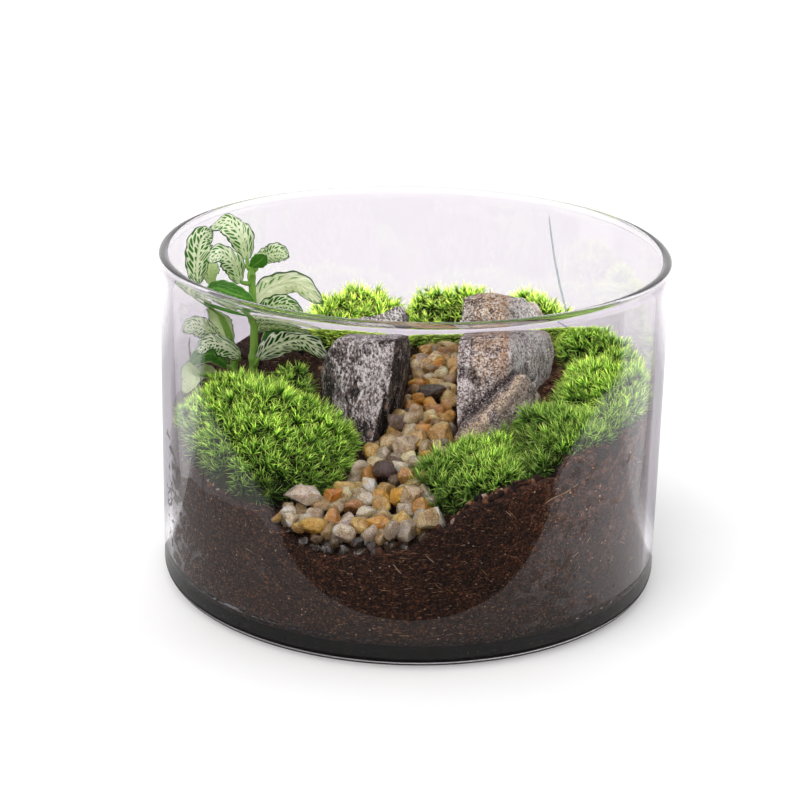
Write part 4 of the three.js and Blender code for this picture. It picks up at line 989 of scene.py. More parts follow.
def soil_crumbs():
    """Loose lumps of soil, bark and grit on the surface."""
    rng = np.random.default_rng(77)
    v0, f0 = ICO[1]
    V, F, C = [], [], []
    base = 0
    spots = []
    for _ in range(330):
        a = math.radians(rng.uniform(-14, 72))
        r = rng.uniform(60, 70.9)
        spots.append((r * math.sin(a), -r * math.cos(a), rng.uniform(0.35, 1.25)))
    for _ in range(120):
        a = math.radians(rng.uniform(-78, -28))
        r = rng.uniform(62, 71)
        spots.append((r * math.sin(a), -r * math.cos(a), rng.uniform(0.3, 0.7)))
    for _ in range(110):
        spots.append((rng.uniform(-68, -24), rng.uniform(-2, 42), rng.uniform(0.35, 1.0)))
    for _ in range(90):
        r, a = 68 * math.sqrt(rng.random()), rng.uniform(0, 2 * math.pi)
        spots.append((r * math.cos(a), r * math.sin(a), rng.uniform(0.4, 1.1)))
    spots = [q for q in spots if math.hypot(q[0], q[1]) < 71.3]
    X = np.array(spots)
    top = soil_top(X[:, 0], X[:, 1])
    tones = [(52, 34, 24), (34, 23, 18), (92, 62, 42), (122, 86, 60), (20, 14, 12), (150, 116, 88), (176, 160, 144)]
    w = np.array([0.3, 0.24, 0.16, 0.12, 0.1, 0.05, 0.03])
    for (x, y, r), z in zip(spots, top):
        half = r * rng.uniform(0.65, 1.25, 3)
        shift = rng.uniform(0, 50, 3)
        p = v0 * (1 + 0.35 * fbm(v0 * 1.7 + shift, 2)[:, None]) * half
        p = p @ rotation(rng, 1.0).T + [x, y, z + 0.25 * r]
        over = np.hypot(p[:, 0], p[:, 1])
        p[:, :2] *= np.where(over > 72.1, 72.1 / over, 1.0)[:, None]
        V.append(p)
        F.append(f0 + base)
        C.append(np.tile(np.array(srgb(*tones[rng.choice(len(tones), p=w)])) * rng.uniform(0.7, 1.2), (len(p), 1)))
        base += len(p)
    ob = make_mesh("soil_crumbs", np.vstack(V), np.vstack(F), colour=np.vstack(C), materials=[M_CHIP])
    place(ob, "potting_soil")


def soil_fibres():
    """Fine roots and fibres: two dark roots down the left of the glass, and pale ones everywhere."""
    rng = np.random.default_rng(5)
    V, F, C = [], [], []
    base = 0

    def add(points, radii, rgb, sides=5):
        nonlocal base
        v, f = sweep(points, radii, sides)
        V.append(v)
        F.extend([q + base for q in f])
        C.append(np.tile(srgb(*rgb), (len(v), 1)))
        base += len(v)

    def on_glass(turn, z, r=72.52):
        a = math.radians(turn)
        return [r * math.sin(a), -r * math.cos(a), z]

    for path, rad, rgb in (
        ([(-52.2, 47), (-52.6, 43), (-52.9, 38), (-53.8, 33), (-54.6, 28)], 0.17, (58, 30, 22)),
        ([(-40.0, 42.5), (-37.8, 38), (-36.2, 33), (-33.4, 28), (-30.0, 23.5), (-26.6, 20.5)], 0.13, (24, 16, 14)),
        ([(30.5, 46.5), (32.5, 47.6), (35.0, 48.2), (37.2, 48.9)], 0.16, (176, 142, 104)),
    ):
        pts = [on_glass(*q) for q in path]
        m = 26
        line = np.array([catmull(pts, i / (m - 1)) for i in range(m)])
        add(line, rad * (1 + 0.25 * np.sin(np.linspace(0, 9, m))), rgb)
    tones = [(150, 96, 56), (112, 70, 44), (172, 132, 92), (196, 172, 146), (86, 50, 34)]
    for _ in range(105):
        turn, z = rng.uniform(-62, 66), rng.uniform(13, 52)
        x, y, _z = on_glass(turn, z)
        if z > float(soil_z(x * 0.98, y * 0.98)) - 1:
            continue
        L, tilt, bend = rng.uniform(0.8, 3.6) ** 1.1, rng.uniform(-0.9, 0.9), rng.uniform(-0.5, 0.5)
        pts = []
        for t in np.linspace(-0.5, 0.5, 7):
            pts.append(on_glass(turn + math.degrees(L * t * math.cos(tilt) / 72.5), z + L * t * math.sin(tilt) + bend * (0.25 - t * t)))
        add(np.array(pts), rng.uniform(0.05, 0.11) * np.array([0.5, 0.9, 1, 1, 1, 0.9, 0.5]), tones[rng.integers(len(tones))], 4)
    for _ in range(60):
        a, r = math.radians(rng.uniform(-80, 78)), rng.uniform(52, 70)
        x, y = r * math.sin(a), -r * math.cos(a)
        d = rng.uniform(0, math.pi)
        L = rng.uniform(1.5, 4.5)
        t = np.linspace(-0.5, 0.5, 8)
        px, py = x + L * t * math.cos(d), y + L * t * math.sin(d)
        k = np.minimum(1, 71.5 / np.hypot(px, py))
        px, py = px * k, py * k
        pz = soil_top(px, py) + 0.35 + rng.uniform(0, 0.8) * (0.25 - t ** 2) * 4
        add(np.stack([px, py, pz], -1), rng.uniform(0.06, 0.12) * np.ones(8), tones[rng.integers(len(tones))], 4)
    ob = make_mesh("soil_fibres", np.vstack(V), F, colour=np.vstack(C), materials=[M_CHIP])
    place(ob, "potting_soil")
    # a dry twig that stands behind the plant, at the left
    pts = [[-68.2, 6.0, 60.0], [-67.9, 6.1, 63.0], [-68.4, 6.2, 66.2], [-68.1, 6.0, 69.6]]
    line = np.array([catmull(pts, i / 17) for i in range(18)])
    v, f = sweep(line, 0.3 * (1.15 - 0.5 * np.linspace(0, 1, 18)) * (1 + 0.2 * np.sin(np.arange(18))), 8)
    ob = make_mesh("dry_twig", v, f, colour=np.tile(srgb(104, 70, 48), (len(v), 1)), materials=[M_CHIP])
    place(ob, "potting_soil")


# ================================================================== STONES
def node_mesh(name):
    """A node's vertices in mm and its triangles."""
    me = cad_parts[name].data
    v = np.empty(len(me.vertices) * 3, np.float32)
    me.vertices.foreach_get("co", v)
    me.calc_loop_triangles()
    t = np.empty(len(me.loop_triangles) * 3, np.int32)
    me.loop_triangles.foreach_get("vertices", t)
    return v.reshape(-1, 3).astype(float) / MM, t.reshape(-1, 3)


def weld(v, t, tol=1e-3):
    key = np.round(v / tol).astype(np.int64)
    _, first, inverse = np.unique(key, axis=0, return_index=True, return_inverse=True)
    inverse = inverse.reshape(-1)
    t = inverse[t]
    keep = (t[:, 0] != t[:, 1]) & (t[:, 1] != t[:, 2]) & (t[:, 0] != t[:, 2])
    return v[first], t[keep]


def apply_modifiers(ob):
    dg = bpy.context.evaluated_depsgraph_get()
    me = bpy.data.meshes.new_from_object(ob.evaluated_get(dg))
    old = ob.data
    ob.modifiers.clear()
    ob.data = me
    bpy.data.meshes.remove(old)


def get_verts(me):
    v = np.empty(len(me.vertices) * 3, np.float32)
    me.vertices.foreach_get("co", v)
    return v.reshape(-1, 3).astype(float) / MM


def get_normals(me):
    v = np.empty(len(me.vertices) * 3, np.float32)
    me.vertex_normals.foreach_get("vector", v)
    return v.reshape(-1, 3).astype(float)


def set_verts(me, v):
    me.vertices.foreach_set("co", (v * MM).astype(np.float32).ravel())
    me.update()


def hull_planes(points):
    """Outward planes (normal, offset) of the hull of some points."""
    bm = bmesh.new()
    for q in points:
        bm.verts.new(q)
    bmesh.ops.convex_hull(bm, input=bm.verts[:])
    bm.normal_update()
    mid = np.mean(points, 0)
    out = []
    for f in bm.faces:
        a = np.array(f.calc_center_median())
        d = np.array(f.normal)
        if (a - mid) @ d < 0:
            d = -d
        out.append((*d, d @ a))
    bm.free()
    return np.array(out)


def outside(p, planes):
    """How far points are outside a hull (negative inside)."""
    best = np.full(len(p), -1e9)
    for a, b, c, d in planes:
        best = np.maximum(best, p @ np.array([a, b, c]) - d)
    return best


RIDGE_MAIN = [
    [14, 8, 83.5], [18.6, 12, 84.3], [23.4, 12, 84.6], [24.8, 8, 84.4], [28.7, 14, 82], [33.7, 18, 80.9], [34.5, 18, 76.8], [42.8, 22, 68.3], [44.6, 22, 61.9], [43.7, 20, 57],
    [41, 14, 50], [26.5, 2, 81.9], [28.7, -2, 75.4], [29.3, -5, 69], [13.5, 4, 79.7], [13, 0, 73.1], [12.9, -4, 66.6], [13.1, -8, 57.6], [13.5, -9.5, 50], [28, -6, 60],
    [14, -8, 39], [27, -5, 40], [40, 12, 43], [40, 27, 45], [20, 22, 42], [16, 18, 60], [18, 20, 78], [30, 27, 74], [41, 28, 62],
]
RIDGE_LOBE = [
    [30.6, -6, 64.1], [35.3, -2, 62.8], [36.3, -4, 59.9], [39.7, 0, 55.4], [33.3, -9, 55.3], [28.3, -12, 53.1], [23.9, -14, 49], [12.6, -12, 45.4], [16, -10, 52], [20.2, -14.5, 52.7],
    [27.4, -12, 60], [14, -10, 39], [26, -12, 40], [38, -2, 45], [34, 4, 50], [20, 0, 48], [30, 2, 62],
]


def near(p, points, radius):
    """1 close to a chain of points, falling to 0 at the radius."""
    points = np.array(points, float)
    best = np.full(len(p), 1e9)
    for a, b in zip(points[:-1], points[1:]):
        t = np.clip(((p - a) @ (b - a)) / ((b - a) @ (b - a)), 0, 1)
        best = np.minimum(best, np.linalg.norm(p - a - t[:, None] * (b - a), axis=1))
    return np.clip(1 - best / radius, 0, 1)


def slate_zones(p, nrm):
    """Painted shade on the side facing right and on the left edge, darker towards the foot; a pale silvery middle band,
    partly a painted highlight; a pale top on the upward faces, partly painted light.
    """
    rag = fbm(p / 3.0 + 4, 3)
    # the side facing right and the left edge are painted dark as painted shade; the stone is also darker towards the
    # foot
    side = np.clip((nrm[:, 0] - 0.45 + 0.15 * rag) / 0.2, 0, 1)
    left = np.clip((-20.5 - p[:, 0] + 1.8 * rag) / 3.0, 0, 1) * 0.75
    foot = np.clip((52 - p[:, 2] + 3 * rag) / 5, 0, 1) * 0.45
    dark = np.maximum(np.maximum(side, left), foot)
    pale = near(p, [[-13.5, -3.5, 72], [-10, -4, 68], [-9.5, -6.5, 62], [-12, -8, 54]], 6.5 + 2.0 * rag)
    top = np.clip((nrm[:, 2] - 0.62 + 0.12 * rag) / 0.15, 0, 1) * (p[:, 2] > 72)
    shape = 0.35 * np.clip(fbm(p / 2.2 + 8, 2), 0, 1) * top
    return np.stack([dark * (1 - top), np.clip(pale * 1.6, 0, 1) * (1 - dark), top], -1), shape


def ridge_zones(p, nrm):
    """Painted shade in the clefts round the lobe, the lobe itself, and the rust on the front face."""
    dm, dl = outside(p, hull_planes(RIDGE_MAIN)), outside(p, hull_planes(RIDGE_LOBE))
    rag = fbm(p / 2.4 + 14, 3)
    lobe = np.clip((dm - 0.4 + 0.25 * rag) / 0.5, 0, 1) * (p[:, 1] < 8)
    front = p[:, 1] < 4
    seam = np.exp(-(((dm - dl + 0.2) / (0.75 + 0.3 * rag)) ** 2)) * (np.abs(dm) < 2.2) * (np.abs(dl) < 2.2) * front
    cleft = near(p, [[16.5, -9.5, 52.5], [21, -10.5, 56.5], [26, -9.5, 61.5], [29.5, -7, 64.5]], 2.6 + 1.2 * rag)
    hollow = near(p, [[13.2, -5.0, 64.6], [17.5, -6.0, 64.2], [18.6, -7.0, 62.2]], 2.3 + 0.8 * rag)
    # the clefts, the hollow and the seam are painted dark: painted shade
    dark = np.clip(np.maximum(seam * 1.1, np.maximum(cleft * 1.5, hollow * 1.5)), 0, 1)
    rust = np.clip((p[:, 0] - 17.2 + 1.6 * rag) / 1.2, 0, 1) * np.clip((28.6 - p[:, 0]) / 1.0, 0, 1) * np.clip((p[:, 2] - 60 + 3 * rag) / 5, 0, 1) * (1 - lobe)
    white = near(p, [[24.0, -13.5, 54.0], [25.2, -13.0, 50.5]], 2.6 + rag)
    shape = -0.6 * seam - 0.5 * np.clip(cleft * 1.6, 0, 1) - 1.1 * np.clip(hollow * 1.7, 0, 1) + 0.5 * lobe * (1 - dark)
    shape = shape - 0.35 * np.exp(-(((p[:, 0] - 17.2 + 0.8 * rag) / 0.5) ** 2)) * (p[:, 2] > 62) * front
    return np.stack([dark * (1 - np.clip(white * 2, 0, 1)), lobe * (1 - np.clip(white * 1.5, 0, 1)), rust], -1), shape


def flake_zones(p, nrm):
    return np.zeros((len(p), 3)), np.zeros(len(p))


def stone(name, node, slot, material, voxel, seed, cells, depth, stretch, layer_dir, zones, shrink=0.3):
    """A broken stone: the node's block, remeshed fine, with split planes, slaty steps and grain cut into it."""
    v, t = weld(*node_mesh(node))
    ob = make_mesh(name, v, t, materials=[material])
    mod = ob.modifiers.new("fine", "REMESH")
    mod.mode = "VOXEL"
    mod.voxel_size = voxel * MM
    mod.use_smooth_shade = True
    apply_modifiers(ob)
    me = ob.data
    p, nrm = get_verts(me), get_normals(me)
    rng = np.random.default_rng(seed)
    lo, hi = p.min(0), p.max(0)
    # split planes: every point takes the plane of its nearest seed, with ragged borders
    seeds = lo + (hi - lo) * rng.random((cells, 3))
    tilts = norm(rng.normal(size=(cells, 3))) * rng.uniform(0.06, 0.2, (cells, 1))
    offs = rng.uniform(-0.6, 0.35, cells)
    ragged = np.stack([fbm(p / 3.5 + 7 * seed + k * 19, 2) for k in range(3)], -1)
    q = p + 0.9 * ragged
    stretch = np.array(stretch)
    d = np.zeros(len(p))
    for a in range(0, len(p), 20000):
        part = q[a:a + 20000]
        k = (((part[:, None, :] - seeds[None]) * stretch) ** 2).sum(-1).argmin(1)
        d[a:a + 20000] = np.einsum("ij,ij->i", p[a:a + 20000] - seeds[k], tilts[k]) + offs[k]
    # slaty layers that end in small steps
    along = p @ norm(np.array(layer_dir)) + 1.3 * fbm(p / 12 + seed, 2)
    thick = 1.25
    index = np.floor(along / thick).astype(int)
    part = along / thick - index
    offsets = rng.uniform(-0.3, 0.3, 400)
    a, b = offsets[index % 400], offsets[(index + 1) % 400]
    blend = np.clip((part - 0.72) / 0.28, 0, 1)
    steps = a + (b - a) * blend
    show = 0.2 + 0.8 * np.clip(0.4 + fbm(p / 8 + 3 * seed, 2), 0, 1)
    chips = fbm(p / 2.6 + seed * 3, 3)
    fine = fbm(p / 0.95 + seed * 5, 2)
    colour, shape = zones(p, nrm)
    disp = -shrink + depth * (0.7 * np.clip(d, -1.2, 0.7) + 0.8 * steps * show - 0.3 * np.clip(chips - 0.1, 0, 1) + 0.12 * chips + 0.1 * fine) + shape
    p = p + nrm * disp[:, None]
    set_verts(me, p)
    layer = me.color_attributes.new(name="Col", type="FLOAT_COLOR", domain="POINT")
    layer.data.foreach_set("color", np.c_[colour, np.ones(len(p))].astype(np.float32).ravel())
    nrm = get_normals(me)
    # curvature: convex edges are marked to be painted lighter (partly a painted highlight), hollows to be painted
    # darker (painted shade)
    e = np.empty(len(me.edges) * 2, np.int32)
    me.edges.foreach_get("vertices", e)
    e = e.reshape(-1, 2)
    count = np.bincount(e.ravel(), minlength=len(p))[:, None]
    mean = np.zeros_like(p)
    np.add.at(mean, e[:, 0], p[e[:, 1]])
    np.add.at(mean, e[:, 1], p[e[:, 0]])
    bend = -((mean / count - p) * nrm).sum(1)
    for _ in range(2):
        soft = np.zeros(len(p))
        np.add.at(soft, e[:, 0], bend[e[:, 1]])
        np.add.at(soft, e[:, 1], bend[e[:, 0]])
        bend = 0.4 * bend + 0.6 * soft / count[:, 0]
    edge_highlight_and_crease_shade = np.stack([np.clip((bend - 0.012) / 0.04, 0, 1), np.clip((-bend - 0.012) / 0.04, 0, 1), np.zeros(len(p)), np.ones(len(p))], -1)
    layer = me.color_attributes.new(name="Edge", type="FLOAT_COLOR", domain="POINT")
    layer.data.foreach_set("color", edge_highlight_and_crease_shade.astype(np.float32).ravel())
    me.polygons.foreach_set("use_smooth", np.ones(len(me.polygons), bool))
    me.update()
    return place(ob, slot, node)


# ================================================================== PEBBLES
def icosphere(level):
    t = (1 + 5 ** 0.5) / 2
    v = norm(np.array([[-1, t, 0], [1, t, 0], [-1, -t, 0], [1, -t, 0], [0, -1, t], [0, 1, t], [0, -1, -t], [0, 1, -t], [t, 0, -1], [t, 0, 1], [-t, 0, -1], [-t, 0, 1]], float))
    f = np.array([[0, 11, 5], [0, 5, 1], [0, 1, 7], [0, 7, 10], [0, 10, 11], [1, 5, 9], [5, 11, 4], [11, 10, 2], [10, 7, 6], [7, 1, 8], [3, 9, 4], [3, 4, 2], [3, 2, 6], [3, 6, 8], [3, 8, 9], [4, 9, 5], [2, 4, 11], [6, 2, 10], [8, 6, 7], [9, 8, 1]])
    for _ in range(level):
        e = np.sort(np.concatenate([f[:, [0, 1]], f[:, [1, 2]], f[:, [2, 0]]]), 1)
        u, inv = np.unique(e, axis=0, return_inverse=True)
        inv = inv.reshape(-1)
        mid = norm(v[u].mean(1))
        m = len(f)
        a, b, c = inv[:m] + len(v), inv[m:2 * m] + len(v), inv[2 * m:] + len(v)
        f = np.concatenate([np.stack([f[:, 0], a, c], 1), np.stack([f[:, 1], b, a], 1), np.stack([f[:, 2], c, b], 1), np.stack([a, b, c], 1)])
        v = np.vstack([v, mid])
    return v, f


ICO = {k: icosphere(k) for k in (1, 2, 3, 4)}


def rotation(rng, amount=1.0):
    q = rng.normal(size=4)
    q[0] += (1 - amount) * 6
    q /= np.linalg.norm(q)
    w, x, y, z = q
    return np.array([[1 - 2 * (y * y + z * z), 2 * (x * y - z * w), 2 * (x * z + y * w)], [2 * (x * y + z * w), 1 - 2 * (x * x + z * z), 2 * (y * z - x * w)], [2 * (x * z - y * w), 2 * (y * z + x * w), 1 - 2 * (x * x + y * y)]])


def pebble_shape(level, rng, half, cuts=11, soft=0.05, rough=0.03, flat=(0.62, 0.9)):
    """A worn, broken piece of quartz about the origin: a ball with planes ground off it, soft at the edges."""
    v, f = ICO[level]
    p = v.copy()
    for i in range(cuts):
        d = norm(rng.normal(size=3))
        at = rng.uniform(*flat)
        over = p @ d - at
        move = np.where(over > soft, over, np.where(over < -soft, 0, (over + soft) ** 2 / (4 * soft)))
        p = p - move[:, None] * d
    shift = rng.uniform(0, 100, 3)
    bump = fbm(v * 1.6 + shift, 2) * rough * 2.2
    if level >= 3:
        bump = bump + fbm(v * 5.5 + shift, 2) * rough * 0.5
    p = p * (1 + bump[:, None])
    lo, hi = p.min(0), p.max(0)
    p = (p - (lo + hi) / 2) / ((hi - lo) / 2)
    return p * np.array(half), f


PATH = np.array([
    [-14.5, -67.6, 18], [-14.5, -60, 21.5], [-13.5, -52, 20], [-9.5, -44, 11.5], [-6.3, -35, 10],
    [-2, -26, 10.2], [1.2, -16, 9.8], [3.2, -5, 8.2], [4.6, 8, 6.6], [6.2, 20, 5.8], [7, 32, 6.4], [8.3, 42, 6], [8.8, 50, 4.6],
])


def path_top(x, y):
    cx = np.interp(y, PATH[:, 1], PATH[:, 0])
    w = np.interp(y, PATH[:, 1], PATH[:, 2])
    u = np.clip(np.abs(x - cx) / w, 0, 1)
    return soil_z(x, y) + BED_THICKNESS * (1 - 0.55 * u ** 3), (x - cx) / w


PEBBLES = [
    ("pebble_white_large", -30.0, -49.0, 5.2, 3.9, 3.3, 0.2, (238, 228, 212), 9),
    ("pebble_yellow", -25.7, -61.4, 3.8, 3.0, 2.5, 0.0, (232, 196, 92), 8),
    ("pebble_amber_tall", -21.3, -55.5, 2.5, 2.6, 3.2, 0.4, (226, 172, 80), 8),
    ("pebble_white_round", -17.6, -61.0, 3.3, 3.1, 3.4, 0.1, (212, 202, 192), 6),
    ("pebble_gold", -8.6, -60.4, 3.7, 2.9, 2.9, 0.5, (238, 184, 74), 11),
    ("pebble_pale_tooth", -4.9, -68.4, 2.6, 2.6, 3.3, -0.4, (198, 188, 166), 10),
    ("pebble_milky_yellow", 5.1, -67.7, 3.3, 3.0, 3.4, 0.3, (226, 208, 160), 10),
    ("pebble_orange", -21.4, -47.1, 2.7, 2.6, 3.0, 0.2, (222, 154, 56), 9),
    ("pebble_rust", -15.9, -51.4, 3.0, 2.6, 2.6, 0.8, (196, 146, 92), 12),
    ("pebble_clear_long", -13.6, -44.5, 4.2, 3.0, 2.4, -0.6, (226, 220, 194), 12),
    ("pebble_beige_front", 0.7, -50.4, 3.3, 3.2, 3.2, 0.1, (224, 206, 168), 11),
    ("pebble_olive_yellow", -6.6, -41.7, 3.2, 2.9, 2.7, -0.3, (204, 176, 108), 11),
    ("pebble_brown_round", -7.3, -34.3, 3.7, 3.3, 3.4, 0.2, (70, 54, 50), 3),
    ("pebble_orange_mid", -1.5, -38.0, 2.4, 2.6, 2.8, 0.2, (220, 172, 104), 9),
    ("pebble_pale_mid", 1.4, -32.7, 2.9, 2.7, 2.7, 0.0, (198, 186, 164), 11),
    ("pebble_beige_large", -1.5, -20.2, 4.2, 3.5, 3.4, 0.4, (216, 200, 168), 11),
    ("pebble_white_small", -7.7, -23.7, 2.4, 2.5, 2.9, 0.3, (204, 196, 176), 11),
    ("pebble_honey_large", 8.6, -13.6, 3.7, 3.2, 4.0, 0.5, (220, 184, 110), 10),
    ("pebble_honey_small", 6.8, 3.1, 4.0, 3.0, 2.7, -0.2, (214, 156, 70), 9),
    ("pebble_grey_pink", -4.6, -4.7, 3.0, 2.9, 3.0, 0.1, (148, 132, 122), 8),
    ("pebble_dark_flat", 6.1, 13.0, 4.6, 3.2, 2.4, 0.1, (66, 56, 50), 7),
    ("pebble_tan_back", 10.5, 43.7, 4.0, 3.0, 2.1, 0.0, (184, 148, 98), 9),
    ("pebble_pink_back", 3.5, 38.6, 3.0, 2.6, 1.9, 0.1, (196, 172, 152), 9),
]
DARK_PEBBLES = {"pebble_brown_round", "pebble_dark_flat"}
PALE_PEBBLES = {"pebble_white_large", "pebble_white_round", "pebble_pale_tooth", "pebble_milky_yellow", "pebble_clear_long", "pebble_beige_front", "pebble_pale_mid", "pebble_beige_large", "pebble_white_small", "pebble_grey_pink", "pebble_pink_back"}


def rot_z(a):
    c, s = math.cos(a), math.sin(a)
    return np.array([[c, -s, 0], [s, c, 0], [0, 0, 1]])


def pebbles():
    for i, (name, x, y, a, b, c, turn, rgb, cuts) in enumerate(PEBBLES):
        rng = np.random.default_rng(100 + i)
        p, f = pebble_shape(4 if a > 3.9 else 3, rng, (a, b, c), cuts=cuts + 5 if cuts > 4 else 4, soft=0.03 if cuts > 4 else 0.25, rough=0.035, flat=(0.5, 0.86))
        p = p @ rot_z(turn).T
        p += [x, y, float(soil_z(x, y)) + BED_THICKNESS + 0.4]
        over = np.hypot(p[:, 0], p[:, 1])
        k = np.where(over > 71.9, 71.9 / over, 1.0)
        p[:, :2] *= k[:, None]
        col = np.tile(srgb(*rgb), (len(p), 1))
        dark = name in DARK_PEBBLES
        ob = make_mesh(name + "_stone", p, f, colour=col, materials=[M_PEB_DARK if dark else M_PEB])
        place(ob, "dark_pebble" if dark else "pale_quartz" if name in PALE_PEBBLES else "amber_quartz", name)


QUARTZ = [
    ((234, 218, 172), 0.2), ((240, 232, 208), 0.22), ((232, 200, 120), 0.17), ((234, 178, 74), 0.1), ((210, 184, 132), 0.1),
    ((168, 140, 92), 0.05), ((226, 218, 200), 0.1), ((120, 90, 58), 0.03), ((206, 144, 68), 0.03),
]


def stone_boxes():
    out = []
    for node in ("stone_dark", "stone_brown", "stone_flake"):
        v, t = weld(*node_mesh(node))
        out.append((v, t))
    return out


def gravel():
    """The small stones of the path: a buried layer and a top layer, each stone a body of its own."""
    rng = np.random.default_rng(11)
    placed = [(x, y, float(soil_z(x, y)) + BED_THICKNESS + 0.4, max(a, b) * 0.8) for _, x, y, a, b, c, *_ in PEBBLES]
    from mathutils.bvhtree import BVHTree
    trees = []
    for v, t in stone_boxes():
        trees.append(BVHTree.FromPolygons([tuple(q) for q in v], [tuple(int(i) for i in q) for q in t]))

    def clear_of_stones(p, r):
        for tree in trees:
            if tree.find_nearest(Vector(p))[3] < r * 0.62:
                return False
            at, hits = Vector(p), 0
            while hits < 9:
                at = tree.ray_cast(at, Vector((0.013, 0.007, 1.0)).normalized())[0]
                if at is None:
                    break
                at = at + Vector((0, 0, 0.002))
                hits += 1
            if hits % 2:
                return False
        return True

    stones = []
    for layer, (count, drop, rlo, rhi, keep) in enumerate(((3400, 0.5, 2.6, 3.4, 0.74), (3400, -0.6, 2.0, 2.8, 0.74), (3000, 0.0, 1.4, 2.1, 0.8))):
        for _ in range(count):
            y = rng.uniform(-69, 51.5)
            cx = np.interp(y, PATH[:, 1], PATH[:, 0])
            w = np.interp(y, PATH[:, 1], PATH[:, 2])
            x = cx + rng.uniform(-1.04, 1.04) * w
            r = rng.uniform(rlo, rhi) * (0.9 if y > 0 else 1.0)
            if math.hypot(x, y) > 71.4 - r:
                continue
            top, u = path_top(np.array(x), np.array(y))
            z = float(top) + drop + rng.uniform(-0.5, 0.5)
            ok = True
            for px, py, pz, pr in placed:
                if (px - x) ** 2 + (py - y) ** 2 + (pz - z) ** 2 < ((pr + r) * keep) ** 2:
                    ok = False
                    break
            if ok and clear_of_stones((x, y, z), r):
                placed.append((x, y, z, r))
                stones.append((x, y, z, r))
    # against the front glass the bed is seen to its foot
    for _ in range(1500):
        a = rng.uniform(math.radians(238), math.radians(277))
        r = rng.uniform(1.7, 2.7)
        x, y = (71.7 - r) * math.cos(a), (71.7 - r) * math.sin(a)
        if not -33 < x < 8:
            continue
        s = float(soil_z(x, y))
        z = s + rng.uniform(-0.5, 3.6)
        if all((px - x) ** 2 + (py - y) ** 2 + (pz - z) ** 2 >= ((pr + r) * 0.8) ** 2 for px, py, pz, pr in placed):
            placed.append((x, y, z, r))
            stones.append((x, y, z, r))
    weights = np.array([w for _, w in QUARTZ])
    weights /= weights.sum()
    V, F, C = [], [], []
    base = 0
    for x, y, z, r in stones:
        half = r * np.array([rng.uniform(1.0, 1.3), rng.uniform(0.85, 1.08), rng.uniform(0.78, 1.0)])
        p, f = pebble_shape(2, rng, half, cuts=int(rng.integers(8, 15)), soft=0.035, rough=0.05, flat=(0.48, 0.88))
        p = p @ rotation(rng, 0.8).T + [x, y, z]
        over = np.hypot(p[:, 0], p[:, 1])
        k = np.where(over > 72.0, 72.0 / over, 1.0)
        p[:, :2] *= k[:, None]
        rgb = QUARTZ[rng.choice(len(QUARTZ), p=weights)][0]
        # stones lower in the bed are painted darker, by up to 92 percent: painted shade between the stones
        deep_shade = np.clip((float(path_top(np.array(x), np.array(y))[0]) + 0.7 - z) / 2.2, 0, 1)
        warm = np.clip((y + 30) / 30, 0, 1)
        c = np.array(srgb(*rgb)) * rng.uniform(0.82, 1.4) * (1 - 0.92 * deep_shade) * (1 - warm * np.array([0.04, 0.16, 0.34]))
        V.append(p)
        F.append(f + base)
        C.append(np.tile(c, (len(p), 1)))
        base += len(p)
    ob = make_mesh("gravel_stones", np.vstack(V), np.vstack(F), colour=np.vstack(C), materials=[M_PEB])
    place(ob, "amber_quartz", "gravel_bed")
    # the gravel bed node's mesh is read and welded here, but not used
    v, t = weld(*node_mesh("gravel_bed"))
    return stones


# ================================================================== PLANT
def catmull(points, u):
    """Centripetal Catmull-Rom through the points, u from 0 to 1."""
    P = [np.asarray(p, float) for p in points]
    n = len(P)
    s = (n - 1) * u
    i = min(int(math.floor(s)), n - 2)
    w = s - i
    p1, p2 = P[i], P[i + 1]
    p0 = P[i - 1] if i > 0 else 2 * P[0] - P[1]
    p3 = P[i + 2] if i + 2 < n else 2 * P[-1] - P[-2]
    d0 = max(np.sum((p0 - p1) ** 2) ** 0.25, 1e-4)
    d1 = max(np.sum((p1 - p2) ** 2) ** 0.25, 1e-4)
    d2 = max(np.sum((p2 - p3) ** 2) ** 0.25, 1e-4)
    t1 = ((p1 - p0) / d0 - (p2 - p0) / (d0 + d1) + (p2 - p1) / d1) * d1
    t2 = ((p2 - p1) / d1 - (p3 - p1) / (d1 + d2) + (p3 - p2) / d2) * d1
    c2 = -3 * p1 + 3 * p2 - 2 * t1 - t2
    c3 = 2 * p1 - 2 * p2 + t1 + t2
    return p1 + t1 * w + c2 * w * w + c3 * w ** 3


STEMS = {
    "plant_stem_main": ([[-49.7, 17, 47], [-49.6, 17, 54.3], [-49.2, 17, 63.8], [-49.3, 18, 76.3], [-49.9, 19, 87.6]], 1.25),
    "plant_stem_left": ([[-55.6, 22, 47], [-55.9, 22, 54.4], [-57.1, 22, 63.6], [-60.6, 21.5, 73], [-64, 19, 80]], 1.05),
    "plant_stem_low": ([[-56.6, 11.5, 48], [-56, 11.8, 53.5], [-55, 12, 57.5], [-54, 11.5, 61.5]], 0.95),
}


